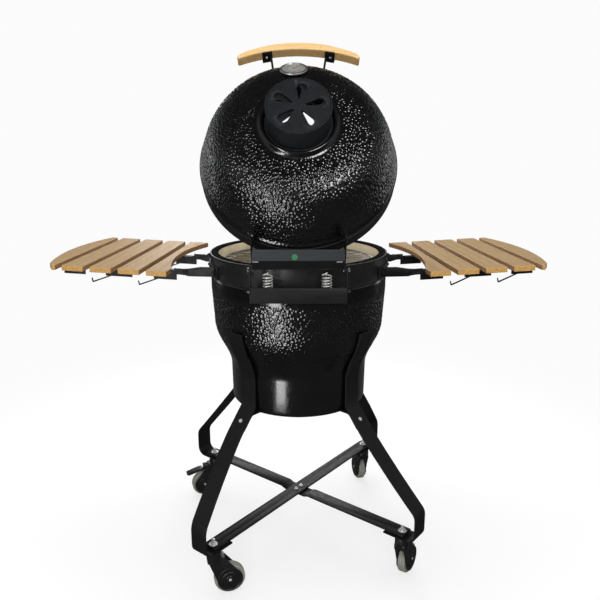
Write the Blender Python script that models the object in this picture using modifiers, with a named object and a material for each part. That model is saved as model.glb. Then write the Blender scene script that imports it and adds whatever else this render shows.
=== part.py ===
"""Kamado ceramic grill on a four-leg rolling cart, lid open, with two folding slatted side shelves.

Frame: metres, +Z up, origin on the floor under the axis of the bowl. The front, where the lid handle,
the thermometer and the draft door are, faces -Y; the lid hinge is at +Y.
"""

import math

import bmesh
import bpy
from mathutils import Matrix, Vector

# ---------------------------------------------------------------- driving dimensions
RIM_Z = 0.977            # rim of the bowl above the floor
BAND_R = 0.2695          # outer radius of the two steel bands
BAND_T = 0.003
BODY_R = 0.268           # largest outer radius of the ceramic
RIM_R = 0.2655           # outer radius of the ceramic under the bands
CAVITY_R = 0.2437        # inner radius at the rim
BELLY_R = 0.261
BASE_R = 0.210           # lower cylinder of the bowl
BOWL_H = 0.463
WALL = 0.026

LID_OPEN = math.radians(53.3)   # opening angle of the lid at rest
HINGE_Y = 0.308
HINGE_X = 0.127                 # half distance between the hinge ears
LID_TOP = 0.2125                # height of the dome above the rim
CAP_R = 0.0815                  # cast-iron top vent
CAP_TOP = 0.280
PETALS = 5
VENT_REST = math.radians(-15)   # how far the cap stands from fully open

TURN_TOP = math.radians(2.0)    # the cart stands turned a little under the bowl,
TURN_FOOT = math.radians(6.6)   # and a little more at its feet than at its top
LEG_W = 0.058
LEG_T = 0.005
CASTER_R = 0.400                # stem distance from the axis
WHEEL_R = 0.046
WHEEL_W = 0.024
TRAIL = 0.044

SHELF_SWEEP = math.radians(5.95)  # shelves swept towards the front
SHELF_TILT = math.radians(2.2)    # outer edge higher than the inner one
SHELF_Z = -0.038                  # top plane of the shelf, carried on to the axis
SLAT_T = 0.0155
SLAT_W = 0.062
SLAT_PITCH = 0.0815
SLAT_U0 = 0.342
SLAT_V = (-0.243, 0.240)
FOLD_U = 0.320                    # fold line of the shelf
BAR_V = (0.149, -0.083)           # rear and front support bars
GAP = 0.0004

STEP = math.radians(7.5)          # arc step of the turned parts (48 sides)

# ---------------------------------------------------------------- scene
for obj in list(bpy.data.objects):
    bpy.data.objects.remove(obj, do_unlink=True)
parts = bpy.data.collections.new("kamado_grill")
bpy.context.scene.collection.children.link(parts)
cutters = bpy.data.collections.new("cutters")
bpy.context.scene.collection.children.link(cutters)


def material(name, rgb, roughness, metallic):
    mat = bpy.data.materials.new(name)
    mat.use_nodes = True
    bsdf = mat.node_tree.nodes["Principled BSDF"]
    bsdf.inputs["Base Color"].default_value = (*rgb, 1.0)
    bsdf.inputs["Roughness"].default_value = roughness
    bsdf.inputs["Metallic"].default_value = metallic
    return mat


GLAZE = material("black_glaze", (0.012, 0.012, 0.012), 0.12, 0.0)
CERAMIC = material("bare_ceramic", (0.55, 0.48, 0.36), 0.8, 0.0)
STEEL_BLACK = material("black_steel", (0.015, 0.015, 0.014), 0.4, 0.6)
IRON = material("cast_iron", (0.02, 0.021, 0.023), 0.7, 0.7)
STAINLESS = material("stainless", (0.6, 0.6, 0.6), 0.25, 1.0)
ZINC = material("zinc", (0.7, 0.7, 0.68), 0.3, 1.0)
BAMBOO = material("bamboo", (0.55, 0.36, 0.19), 0.5, 0.0)
FELT = material("felt", (0.02, 0.02, 0.02), 0.95, 0.0)
RUBBER = material("grey_tread", (0.33, 0.32, 0.29), 0.6, 0.0)
PLASTIC = material("black_plastic", (0.015, 0.015, 0.015), 0.35, 0.0)
HINGE_GREY = material("hinge_plate", (0.04, 0.05, 0.06), 0.45, 0.5)


def finish(obj, mat, parent=None, smooth=True):
    obj.data.materials.clear()
    obj.data.materials.append(mat)
    if smooth:
        obj.data.shade_smooth()
        obj.data.set_sharp_from_angle(angle=math.radians(35))
    if parent is not None:
        obj.parent = parent
    return obj


def from_bmesh(name, bm, mat, parent=None, smooth=False, at=None):
    bmesh.ops.recalc_face_normals(bm, faces=bm.faces)
    mesh = bpy.data.meshes.new(name)
    bm.to_mesh(mesh)
    bm.free()
    obj = bpy.data.objects.new(name, mesh)
    parts.objects.link(obj)
    if at is not None:
        obj.matrix_basis = at
    return finish(obj, mat, parent, smooth)


def empty(name, matrix, parent=None):
    obj = bpy.data.objects.new(name, None)
    obj.empty_display_size = 0.05
    parts.objects.link(obj)
    if parent is not None:
        obj.parent = parent
    obj.matrix_basis = matrix
    return obj


def add_box(bm, lo, hi, matrix=None):
    lo, hi = Vector(lo), Vector(hi)
    made = bmesh.ops.create_cube(bm, size=1.0)["verts"]
    size = hi - lo
    bmesh.ops.scale(bm, vec=size, verts=made)
    bmesh.ops.translate(bm, vec=(lo + hi) / 2, verts=made)
    if matrix is not None:
        bmesh.ops.transform(bm, matrix=matrix, verts=made)
    return made


def add_rod(bm, start, end, radius, sides=12, radius_end=None):
    start, end = Vector(start), Vector(end)
    axis = end - start
    made = bmesh.ops.create_cone(
        bm, cap_ends=True, segments=sides, radius1=radius,
        radius2=radius if radius_end is None else radius_end, depth=axis.length,
    )["verts"]
    turn = Vector((0, 0, 1)).rotation_difference(axis.normalized()).to_matrix().to_4x4()
    bmesh.ops.transform(bm, matrix=Matrix.Translation((start + end) / 2) @ turn, verts=made)
    return made


def add_prism(bm, outline, low, high, matrix=None):
    """A flat outline (x, y) raised from z=low to z=high."""
    verts = [bm.verts.new((x, y, low)) for x, y in outline]
    face = bm.faces.new(verts)
    grown = bmesh.ops.extrude_face_region(bm, geom=[face])["geom"]
    top = [g for g in grown if isinstance(g, bmesh.types.BMVert)]
    bmesh.ops.translate(bm, vec=(0, 0, high - low), verts=top)
    if matrix is not None:
        bmesh.ops.transform(bm, matrix=matrix, verts=verts + top)
    return verts + top


def cutter(name, bm, at=None):
    obj = from_bmesh(name, bm, STEEL_BLACK, at=at)
    parts.objects.unlink(obj)
    cutters.objects.link(obj)
    obj.hide_render = True
    obj.display_type = "WIRE"
    return obj


def boolean(obj, other, operation="DIFFERENCE"):
    mod = obj.modifiers.new(operation.lower() + "_" + other.name, "BOOLEAN")
    mod.operation = operation
    mod.solver = "EXACT"
    mod.object = other
    return mod


def fuse(name, pieces, mat, parent=None, at=None, smooth=False):
    """Several overlapping solids, each given as a bmesh, united into one body."""
    base = from_bmesh(name, pieces[0], mat)
    others = []
    for i, bm in enumerate(pieces[1:]):
        other = from_bmesh(f"{name}_add{i}", bm, mat)
        others.append(other)
        boolean(base, other, "UNION")
    bpy.context.view_layer.update()
    graph = bpy.context.evaluated_depsgraph_get()
    mesh = bpy.data.meshes.new_from_object(base.evaluated_get(graph))
    mesh.name = name
    base.modifiers.clear()
    base.data = mesh
    for other in others:
        bpy.data.objects.remove(other, do_unlink=True)
    if at is not None:
        base.matrix_basis = at
    return finish(base, mat, parent, smooth)


def piece(add, *args, **kwargs):
    bm = bmesh.new()
    add(bm, *args, **kwargs)
    return bm


def lathe(name, profile, mat, parent=None, at=None, steps=48, closed=True, ring=True):
    """Turned part. profile runs (r, z) down the outer side; ring=True closes it into a loop off the axis."""
    mesh = bpy.data.meshes.new(name)
    n = len(profile)
    edges = [(i, i + 1) for i in range(n - 1)]
    if ring:
        edges.append((n - 1, 0))
    mesh.from_pydata([(r, 0.0, z) for r, z in profile], edges, [])
    obj = bpy.data.objects.new(name, mesh)
    parts.objects.link(obj)
    screw = obj.modifiers.new("turn", "SCREW")
    screw.axis = "Z"
    screw.steps = steps
    screw.render_steps = steps
    screw.use_merge_vertices = True
    screw.merge_threshold = 0.00001
    screw.use_smooth_shade = True
    obj.data.materials.append(mat)
    if parent is not None:
        obj.parent = parent
    if at is not None:
        obj.matrix_basis = at
    return obj


def sector(r0, r1, z0, z1, a0, a1, step=STEP):
    """A curved wall between two radii and two angles, as a bmesh."""
    count = max(2, round(abs(a1 - a0) / step))
    angles = [a0 + (a1 - a0) * i / count for i in range(count + 1)]
    outline = [(r1 * math.cos(a), r1 * math.sin(a)) for a in angles]
    outline += [(r0 * math.cos(a), r0 * math.sin(a)) for a in reversed(angles)]
    return piece(add_prism, outline, z0, z1)


def lift(z):
    return Matrix.Translation((0, 0, RIM_Z + z))


UP = lift(0)

# ---------------------------------------------------------------- bowl


def bowl_radius(z):
    """Outer radius of the bowl at height z below the rim."""
    if z > -0.108:
        return BODY_R
    if z > -0.21:
        return BODY_R + (BELLY_R - BODY_R) * (z + 0.108) / -0.102
    if z > -0.355:
        t = (-0.21 - z) / 0.145
        return BELLY_R - (BELLY_R - 0.212) * (1 - math.cos(math.pi * t)) / 2
    return 0.212 + (BASE_R - 0.212) * (z + 0.355) / (-BOWL_H + 0.355)


outer_z = [-0.069, -0.108, -0.16, -0.21] + [-0.21 - 0.145 * i / 5 for i in range(1, 6)] + [-0.455]
outer = [(RIM_R, -0.0045), (RIM_R, -0.066)] + [(bowl_radius(z), z) for z in outer_z]
outer += [(BASE_R - 0.004, -BOWL_H), (0.06, -BOWL_H)]
inner_z = [-0.355, -0.297, -0.239, -0.12]
inner = [(0.06, -0.445), (bowl_radius(-0.455) - WALL, -0.445)]
inner += [(bowl_radius(z) - WALL, z) for z in inner_z] + [(CAVITY_R, -0.06), (CAVITY_R, -0.0045)]
bowl = lathe("bowl_shell", outer + inner, GLAZE, at=UP)
# A solid floor closes the middle, and the draft opening passes through the front wall.
floor_plug = from_bmesh("floor_plug", piece(add_rod, (0, 0, -BOWL_H), (0, 0, -0.445), 0.0605, 48), CERAMIC, at=UP)
parts.objects.unlink(floor_plug)
cutters.objects.link(floor_plug)
floor_plug.hide_render = True
floor_plug.display_type = "WIRE"
boolean(bowl, floor_plug, "UNION")
DRAFT_HALF = math.radians(10)
DRAFT_Z = (-0.436, -0.384)
draft_cut = cutter(
    "draft_cut", sector(0.16, 0.24, *DRAFT_Z, -math.pi / 2 - DRAFT_HALF, -math.pi / 2 + DRAFT_HALF), at=UP
)
boolean(bowl, draft_cut)

base_band = lathe(
    "base_band",
    [(BAND_R, -0.0006), (BAND_R, -0.066), (BAND_R - BAND_T, -0.066), (BAND_R - BAND_T, -0.0006)],
    STEEL_BLACK, at=UP,
)
base_gasket = lathe(
    "base_gasket",
    [(0.2648, 0.0), (0.2648, -0.0042), (0.2446, -0.0042), (0.2446, 0.0)],
    FELT, at=UP,
)

# ---------------------------------------------------------------- fire box, ring and grates
fire_box = lathe(
    "fire_box",
    [(0.222, -0.215), (0.206, -0.262), (0.186, -0.305), (0.176, -0.345), (0.176, -0.4445), (0.156, -0.4445),
     (0.156, -0.385), (0.076, -0.372), (0.076, -0.354), (0.150, -0.352), (0.166, -0.305), (0.186, -0.262),
     (0.200, -0.215)],
    CERAMIC, at=UP, steps=24,
)
notch = cutter("ash_notch", piece(add_box, (-0.05, -0.20, -0.4446), (0.05, -0.10, -0.392)), at=UP)
boolean(fire_box, notch)
fire_ring = lathe(
    "fire_ring",
    [(0.2345, -0.034), (0.2345, -0.10), (0.222, -0.2146), (0.202, -0.2146), (0.2145, -0.10), (0.2145, -0.034)],
    CERAMIC, at=UP, steps=24,
)


def grate(name, radius, ring_w, rod_w, pitch, z_low, z_high, mat, parent=None):
    """A round grate: an outer ring, straight bars and one cross bar below them."""
    at = UP if parent is None else Matrix.Identity(4)
    ring = sector(radius - ring_w, radius, z_low, z_high, 0, math.tau * 35 / 36, math.radians(10))
    closing = sector(radius - ring_w, radius, z_low, z_high, math.tau * 34.7 / 36, math.tau * 36.3 / 36, math.radians(10))
    pieces = [ring, closing]
    count = int((radius - ring_w) / pitch)
    for i in range(-count, count + 1):
        y = i * pitch
        half = math.sqrt((radius - ring_w * 0.5) ** 2 - (abs(y) + rod_w / 2) ** 2)
        pieces.append(piece(add_box, (-half, y - rod_w / 2, z_low + 0.001), (half, y + rod_w / 2, z_high - 0.0006)))
    for x in (-radius * 0.42, radius * 0.42):
        half = math.sqrt((radius - ring_w * 0.5) ** 2 - (abs(x) + rod_w / 2) ** 2)
        pieces.append(piece(add_box, (x - rod_w / 2, -half, z_low + 0.0004), (x + rod_w / 2, half, (z_low + z_high) / 2)))
    return fuse(name, pieces, mat, parent=parent, at=at)


charcoal_grate = grate("charcoal_grate", 0.090, 0.008, 0.007, 0.020, -0.3528, -0.3428, IRON)
grid_axis = empty("grid_lift", UP)
cooking_grid = grate("cooking_grid", 0.2335, 0.006, 0.005, 0.0310, -0.0335, -0.0245, STAINLESS, parent=grid_axis)

# ---------------------------------------------------------------- draft door on the front of the lower cylinder
FRONT = -math.pi / 2
FRAME_HALF = math.radians(32.0)
PANEL_HALF = math.radians(10.9)
frame_pieces = [
    sector(0.2127, 0.2142, -0.452, -0.4365, FRONT - FRAME_HALF, FRONT + FRAME_HALF),
    sector(0.2127, 0.2142, -0.3835, -0.368, FRONT - FRAME_HALF, FRONT + FRAME_HALF),
    sector(0.2127, 0.2142, -0.452, -0.368, FRONT - FRAME_HALF, FRONT - DRAFT_HALF),
    sector(0.2127, 0.2142, -0.452, -0.368, FRONT + DRAFT_HALF, FRONT + FRAME_HALF),
    sector(0.2135, 0.2186, -0.452, -0.450, FRONT - FRAME_HALF, FRONT + FRAME_HALF),
    sector(0.2135, 0.2186, -0.370, -0.368, FRONT - FRAME_HALF, FRONT + FRAME_HALF),
]
door_frame = fuse("draft_door_frame", frame_pieces, STAINLESS, at=UP)
door_axis = empty("draft_door_axis", UP)
draft_door = fuse(
    "draft_door",
    [sector(0.2170, 0.2182, -0.4494, -0.3706, FRONT - PANEL_HALF, FRONT + PANEL_HALF),
     piece(add_rod, (0.0, -0.2175, -0.410), (0.0, -0.232, -0.410), 0.008, 16)],
    STAINLESS, parent=door_axis,
)
screen_axis = empty("ash_screen_axis", UP)
screen_pieces = [
    sector(0.2149, 0.2159, -0.4494, -0.4394, FRONT - PANEL_HALF, FRONT + PANEL_HALF),
    sector(0.2149, 0.2159, -0.3806, -0.3706, FRONT - PANEL_HALF, FRONT + PANEL_HALF),
]
for i in range(9):
    a = FRONT - PANEL_HALF + (2 * PANEL_HALF - math.radians(1.0)) * i / 8
    screen_pieces.append(sector(0.2149, 0.2159, -0.445, -0.375, a, a + math.radians(1.0)))
ash_screen = fuse("ash_screen", screen_pieces, STAINLESS, parent=screen_axis)

# ---------------------------------------------------------------- lid, modelled shut and then opened about its hinge
hinge_point = Vector((0, HINGE_Y, RIM_Z))
lid_axis = empty("lid_hinge", Matrix.Translation(hinge_point) @ Matrix.Rotation(-LID_OPEN, 4, "X"))
SHUT = Matrix.Translation(-hinge_point) @ UP   # places lid geometry, given relative to the rim, under lid_axis


def dome_z(r, top=LID_TOP, radius=0.2677, low=0.010, p=1.51, q=5.9):
    """Height of the dome's outer face above the rim at radius r."""
    return low + (top - low) * (1 - min(1.0, r / radius) ** q) ** (1 / p)


dome = [(0.2672, 0.048)] + [(r, dome_z(r)) for r in (0.262, 0.253, 0.238, 0.217, 0.188, 0.15)]
lip = [(0.104, 0.2135), (0.0965, 0.2222), (0.0905, 0.2222), (0.0885, 0.208), (0.064, 0.208)]
in_top = [(0.064, 0.188), (0.13, 0.186), (0.176, 0.172), (0.209, 0.141), (0.232, 0.088), (CAVITY_R, 0.0052)]
lid_profile = list(reversed(lip)) + list(reversed(dome)) + [(RIM_R, 0.0455), (RIM_R, 0.0052)]
lid_profile = lid_profile + list(reversed(in_top))
lid_shell = lathe("lid_shell", lid_profile, GLAZE, parent=lid_axis, at=SHUT)
GAUGE_R = 0.176
GAUGE_TILT = math.radians(21.3)
gauge_at = SHUT @ Matrix.Translation((0, -GAUGE_R, dome_z(GAUGE_R))) @ Matrix.Rotation(GAUGE_TILT, 4, "X")
gauge_hole = cutter("gauge_hole", piece(add_rod, (0, 0, -0.06), (0, 0, 0.03), 0.0058, 16))
gauge_hole.parent = lid_axis
gauge_hole.matrix_basis = gauge_at
boolean(lid_shell, gauge_hole)

lid_band = lathe(
    "lid_band",
    [(BAND_R, 0.045), (BAND_R, 0.0012), (BAND_R - BAND_T, 0.0012), (BAND_R - BAND_T, 0.045)],
    STEEL_BLACK, parent=lid_axis, at=SHUT,
)
lid_gasket = lathe(
    "lid_gasket",
    [(0.2648, 0.0049), (0.2648, 0.0010), (0.2446, 0.0010), (0.2446, 0.0049)],
    FELT, parent=lid_axis, at=SHUT,
)

# Thermometer: bezel, glass-covered dial and the probe that passes through the wall.
thermometer = lathe(
    "thermometer",
    [(0.0, 0.0096), (0.0318, 0.0096), (0.0350, 0.0092), (0.0364, 0.0074), (0.0364, 0.0046), (0.0345, 0.0035),
     (0.0050, 0.0035), (0.0050, -0.075), (0.0, -0.079)],
    STAINLESS, parent=lid_axis, at=gauge_at, steps=32, ring=False,
)

# Handle: a bamboo crescent round the front of the lid on two brackets.
HANDLE_FRONT, HANDLE_BACK = -0.3274, -0.3028     # outer and inner face on the centre line
HANDLE_OUT_R, HANDLE_IN_R = 0.350, 0.420         # their radii
HANDLE_Z = (0.109, 0.139)
HANDLE_LONG = 0.1716


def handle_face(x, front, radius):
    return front + radius - math.sqrt(radius ** 2 - x ** 2)


def crescent():
    """Outline of the handle seen from above: two arcs, with the outer corners rounded."""
    right = [(x, handle_face(x, HANDLE_FRONT, HANDLE_OUT_R)) for x in (0.0, 0.022, 0.044, 0.066, 0.088, 0.110, 0.130, 0.147)]
    start = Vector(right[-1])
    corner = Vector((HANDLE_LONG + 0.001, handle_face(HANDLE_LONG, HANDLE_FRONT, HANDLE_OUT_R) - 0.001))
    end = Vector((HANDLE_LONG - 0.0035, handle_face(HANDLE_LONG - 0.004, HANDLE_BACK, HANDLE_IN_R) - 0.004))
    for i in range(1, 6):
        t = i / 5
        p = start * (1 - t) ** 2 + corner * 2 * t * (1 - t) + end * t ** 2
        right.append((p.x, p.y))
    right += [(x, handle_face(x, HANDLE_BACK, HANDLE_IN_R)) for x in (0.1655, 0.140, 0.112, 0.084, 0.056, 0.028, 0.0)]
    left = [(-x, y) for x, y in reversed(right) if x > 0]
    return right + left


handle = from_bmesh(
    "handle", piece(add_prism, crescent(), *HANDLE_Z), BAMBOO, parent=lid_axis, at=SHUT, smooth=True,
)
BRACKET_X = 0.0875
for name, side in (("handle_bracket_right", 1), ("handle_bracket_left", -1)):
    lean = math.asin(BRACKET_X / HANDLE_IN_R)
    seat = Matrix.Translation((side * BRACKET_X, handle_face(BRACKET_X, HANDLE_BACK, HANDLE_IN_R), 0)) @ Matrix.Rotation(side * lean, 4, "Z")
    foot_angle = math.radians(15.95)
    foot = Matrix.Rotation(side * foot_angle, 4, "Z")
    blocks = [
        piece(add_box, (-0.0135, -0.0200, 0.1040), (0.0135, 0.0062, 0.1084), seat),
        piece(add_box, (-0.0135, 0.0010, 0.1040), (0.0135, 0.0062, 0.1395), seat),
        piece(add_rod, seat @ Vector((-side * 0.0107, 0.0030, 0.121)), foot @ Vector((0, -0.2535, 0.1165)), 0.0030, 10),
        piece(add_box, (-0.0080, -0.2570, 0.108), (0.0080, -0.2512, 0.125), foot),
    ]
    fuse(name, blocks, STEEL_BLACK, parent=lid_axis, at=SHUT)


# ---------------------------------------------------------------- top vent
def petal(angle, near=0.020, far=0.0625, width=0.0115):
    """Outline of one petal-shaped hole: narrow towards the axis, round at the far end."""
    c, s = math.cos(angle), math.sin(angle)
    mid = far - width
    pts = [(near, -0.002), (near, 0.002)]
    for i in range(7):
        a = math.radians(100 - 200 * i / 6)
        pts.append((mid + width * math.cos(a), width * math.sin(a)))
    return [(x * c - y * s, x * s + y * c) for x, y in pts]


vent_base = lathe(
    "vent_base",
    [(0.0, 0.2705), (0.0765, 0.2705), (0.0770, 0.2125), (0.0860, 0.2125), (0.0860, 0.2086), (0.0600, 0.2086),
     (0.0600, 0.192), (0.0560, 0.192), (0.0560, 0.2125), (0.0730, 0.2145), (0.0730, 0.2660), (0.0, 0.2660)],
    IRON, parent=lid_axis, at=SHUT, steps=30, ring=False,
)
cap_axis = empty("vent_cap_axis", SHUT, parent=lid_axis)
vent_cap = lathe(
    "vent_cap",
    [(0.0, CAP_TOP), (CAP_R - 0.0015, CAP_TOP), (CAP_R, CAP_TOP - 0.0015), (CAP_R, 0.2150), (0.0785, 0.2150),
     (0.0785, 0.2745), (0.0, 0.2745)],
    IRON, parent=cap_axis, at=Matrix.Identity(4), steps=36, ring=False,
)
PETAL_0 = math.radians(-99)   # first petal, measured from +X in the lid's own frame
for n in range(PETALS):
    a = PETAL_0 + math.tau * n / PETALS
    cut = cutter(f"cap_petal_{n}", piece(add_prism, petal(a), 0.272, 0.284))
    cut.parent = cap_axis
    boolean(vent_cap, cut)
    cut = cutter(f"base_petal_{n}", piece(add_prism, petal(a - VENT_REST), 0.262, 0.2725))
    cut.parent = lid_axis
    cut.matrix_basis = SHUT
    boolean(vent_base, cut)

# ---------------------------------------------------------------- hinge
lid_bracket = fuse(
    "hinge_lid_bracket",
    [
        piece(add_box, (-0.1215, 0.2790, 0.0045), (0.1215, 0.2820, 0.045)),
        piece(add_box, (-0.1215, 0.2790, 0.0045), (0.1215, 0.3070, 0.0075)),
        piece(add_prism, [(0.245, 0.014), (0.2765, 0.000), (0.300, -0.010), (0.316, -0.009), (0.318, 0.006),
                          (0.302, 0.016), (0.2825, 0.045), (0.262, 0.095), (0.245, 0.095)],
              0.1195, 0.1225, Matrix(((0, 0, 1, 0), (1, 0, 0, 0), (0, 1, 0, 0), (0, 0, 0, 1)))),
        piece(add_prism, [(0.245, 0.014), (0.2765, 0.000), (0.300, -0.010), (0.316, -0.009), (0.318, 0.006),
                          (0.302, 0.016), (0.2825, 0.045), (0.262, 0.095), (0.245, 0.095)],
              -0.1225, -0.1195, Matrix(((0, 0, 1, 0), (1, 0, 0, 0), (0, 1, 0, 0), (0, 0, 0, 1)))),
    ],
    HINGE_GREY, parent=lid_axis, at=SHUT,
)
for side in (-1, 1):
    hole = cutter(f"pivot_hole_{side + 1}", piece(add_rod, (side * 0.110, HINGE_Y, 0), (side * 0.126, HINGE_Y, 0), 0.0045, 20))
    hole.parent = lid_axis
    hole.matrix_basis = SHUT
    boolean(lid_bracket, hole)

ear = [(0.2745, -0.058), (0.320, -0.058), (0.320, -0.004), (0.317, 0.008), (0.305, 0.012), (0.2980, 0.000), (0.2980, -0.045),
       (0.2745, -0.050)]
YZ = Matrix(((0, 0, 1, 0), (1, 0, 0, 0), (0, 1, 0, 0), (0, 0, 0, 1)))
hinge_base = fuse(
    "hinge_base",
    [
        piece(add_box, (-0.1290, 0.3150, -0.0865), (0.1290, 0.3180, -0.0445)),
        piece(add_box, (-0.1290, 0.2715, -0.0865), (0.1290, 0.3180, -0.0835)),
        piece(add_box, (-0.1290, 0.2715, -0.0865), (-0.1260, 0.3180, -0.0480)),
        piece(add_box, (0.1260, 0.2715, -0.0865), (0.1290, 0.3180, -0.0480)),
        piece(add_prism, ear, 0.1260, 0.1290, YZ),
        piece(add_prism, ear, -0.1290, -0.1260, YZ),
        piece(add_box, (-0.1290, 0.2700, -0.0865), (0.1290, 0.2725, -0.0600)),
    ],
    STEEL_BLACK, at=UP,
)
for side in (-1, 1):
    hole = cutter(f"ear_hole_{side + 1}", piece(add_rod, (side * 0.120, HINGE_Y, 0), (side * 0.135, HINGE_Y, 0), 0.0045, 20), at=UP)
    boolean(hinge_base, hole)
for name, side in (("hinge_pin_right", 1), ("hinge_pin_left", -1)):
    fuse(
        name,
        [piece(add_rod, (side * 0.1170, HINGE_Y, 0), (side * 0.1320, HINGE_Y, 0), 0.0041, 20),
         piece(add_rod, (side * 0.1294, HINGE_Y, 0), (side * 0.1345, HINGE_Y, 0), 0.0080, 6)],
        ZINC, at=UP,
    )


def spring(name, x, y, z0, z1, turns=7, radius=0.0125, wire=0.0017):
    """A close-wound assist spring with its ends drawn in to the middle."""
    curve = bpy.data.curves.new(name, "CURVE")
    curve.dimensions = "3D"
    curve.bevel_depth = wire
    curve.bevel_resolution = 1
    curve.use_fill_caps = True
    per = 6
    pts = [(x, y, z0 - 0.004)]
    for i in range(turns * per + 1):
        a = math.tau * i / per
        pts.append((x + radius * math.cos(a), y + radius * math.sin(a), z0 + (z1 - z0) * i / (turns * per)))
    pts.append((x, y, z1 + 0.006))
    spline = curve.splines.new("POLY")
    spline.points.add(len(pts) - 1)
    for point, co in zip(spline.points, pts):
        point.co = (*co, 1)
    obj = bpy.data.objects.new(name, curve)
    parts.objects.link(obj)
    curve.materials.append(ZINC)
    obj.matrix_basis = UP
    return obj


spring("spring_right", 0.0785, 0.2985, -0.0765, -0.0125)
spring("spring_left", -0.0785, 0.2985, -0.0765, -0.0125)


# ---------------------------------------------------------------- side shelves
def shelf_frame(side):
    """Matrix of a shelf's own frame: x outward along the tilted top, z its normal, origin on the bowl's axis."""
    u = Vector((side * math.cos(SHELF_SWEEP) * math.cos(SHELF_TILT), -math.sin(SHELF_SWEEP) * math.cos(SHELF_TILT), math.sin(SHELF_TILT)))
    v = Vector((side * math.sin(SHELF_SWEEP), math.cos(SHELF_SWEEP), 0.0)) * side
    n = u.cross(v)
    m = Matrix((u, v, n)).transposed().to_4x4()
    m.translation = Vector((0, 0, RIM_Z + SHELF_Z))
    return m


def arc_points(p0, p1, sag, count):
    """Points from p0 to p1 along a circular arc that bulges by sag in +u."""
    chord = (p1[1] - p0[1]) / 2
    radius = (chord ** 2 + sag ** 2) / (2 * sag)
    out = []
    for i in range(count + 1):
        v = p0[1] + (p1[1] - p0[1]) * i / count
        base = p0[0] + (p1[0] - p0[0]) * i / count
        t = v - (p0[1] + p1[1]) / 2
        out.append((base + math.sqrt(radius ** 2 - t ** 2) - (radius - sag), v))
    return out


def slat_outline(i):
    v0, v1 = SLAT_V
    u0 = SLAT_U0 + i * SLAT_PITCH
    if i == 0:
        inner_edge = arc_points((u0, v0), (u0 + 0.003, 0.190), 0.037, 8)
        return inner_edge + [(u0 + 0.003, v1), (u0 + SLAT_W, v1), (u0 + SLAT_W, v0)]
    if i == 4:
        outer_edge = arc_points((0.688, v0), (0.694, 0.215), 0.034, 8)
        return [(u0, v0)] + outer_edge + [(0.678, v1), (u0, v1)]
    return [(u0, v0), (u0 + SLAT_W, v0), (u0 + SLAT_W, v1), (u0, v1)]


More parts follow.
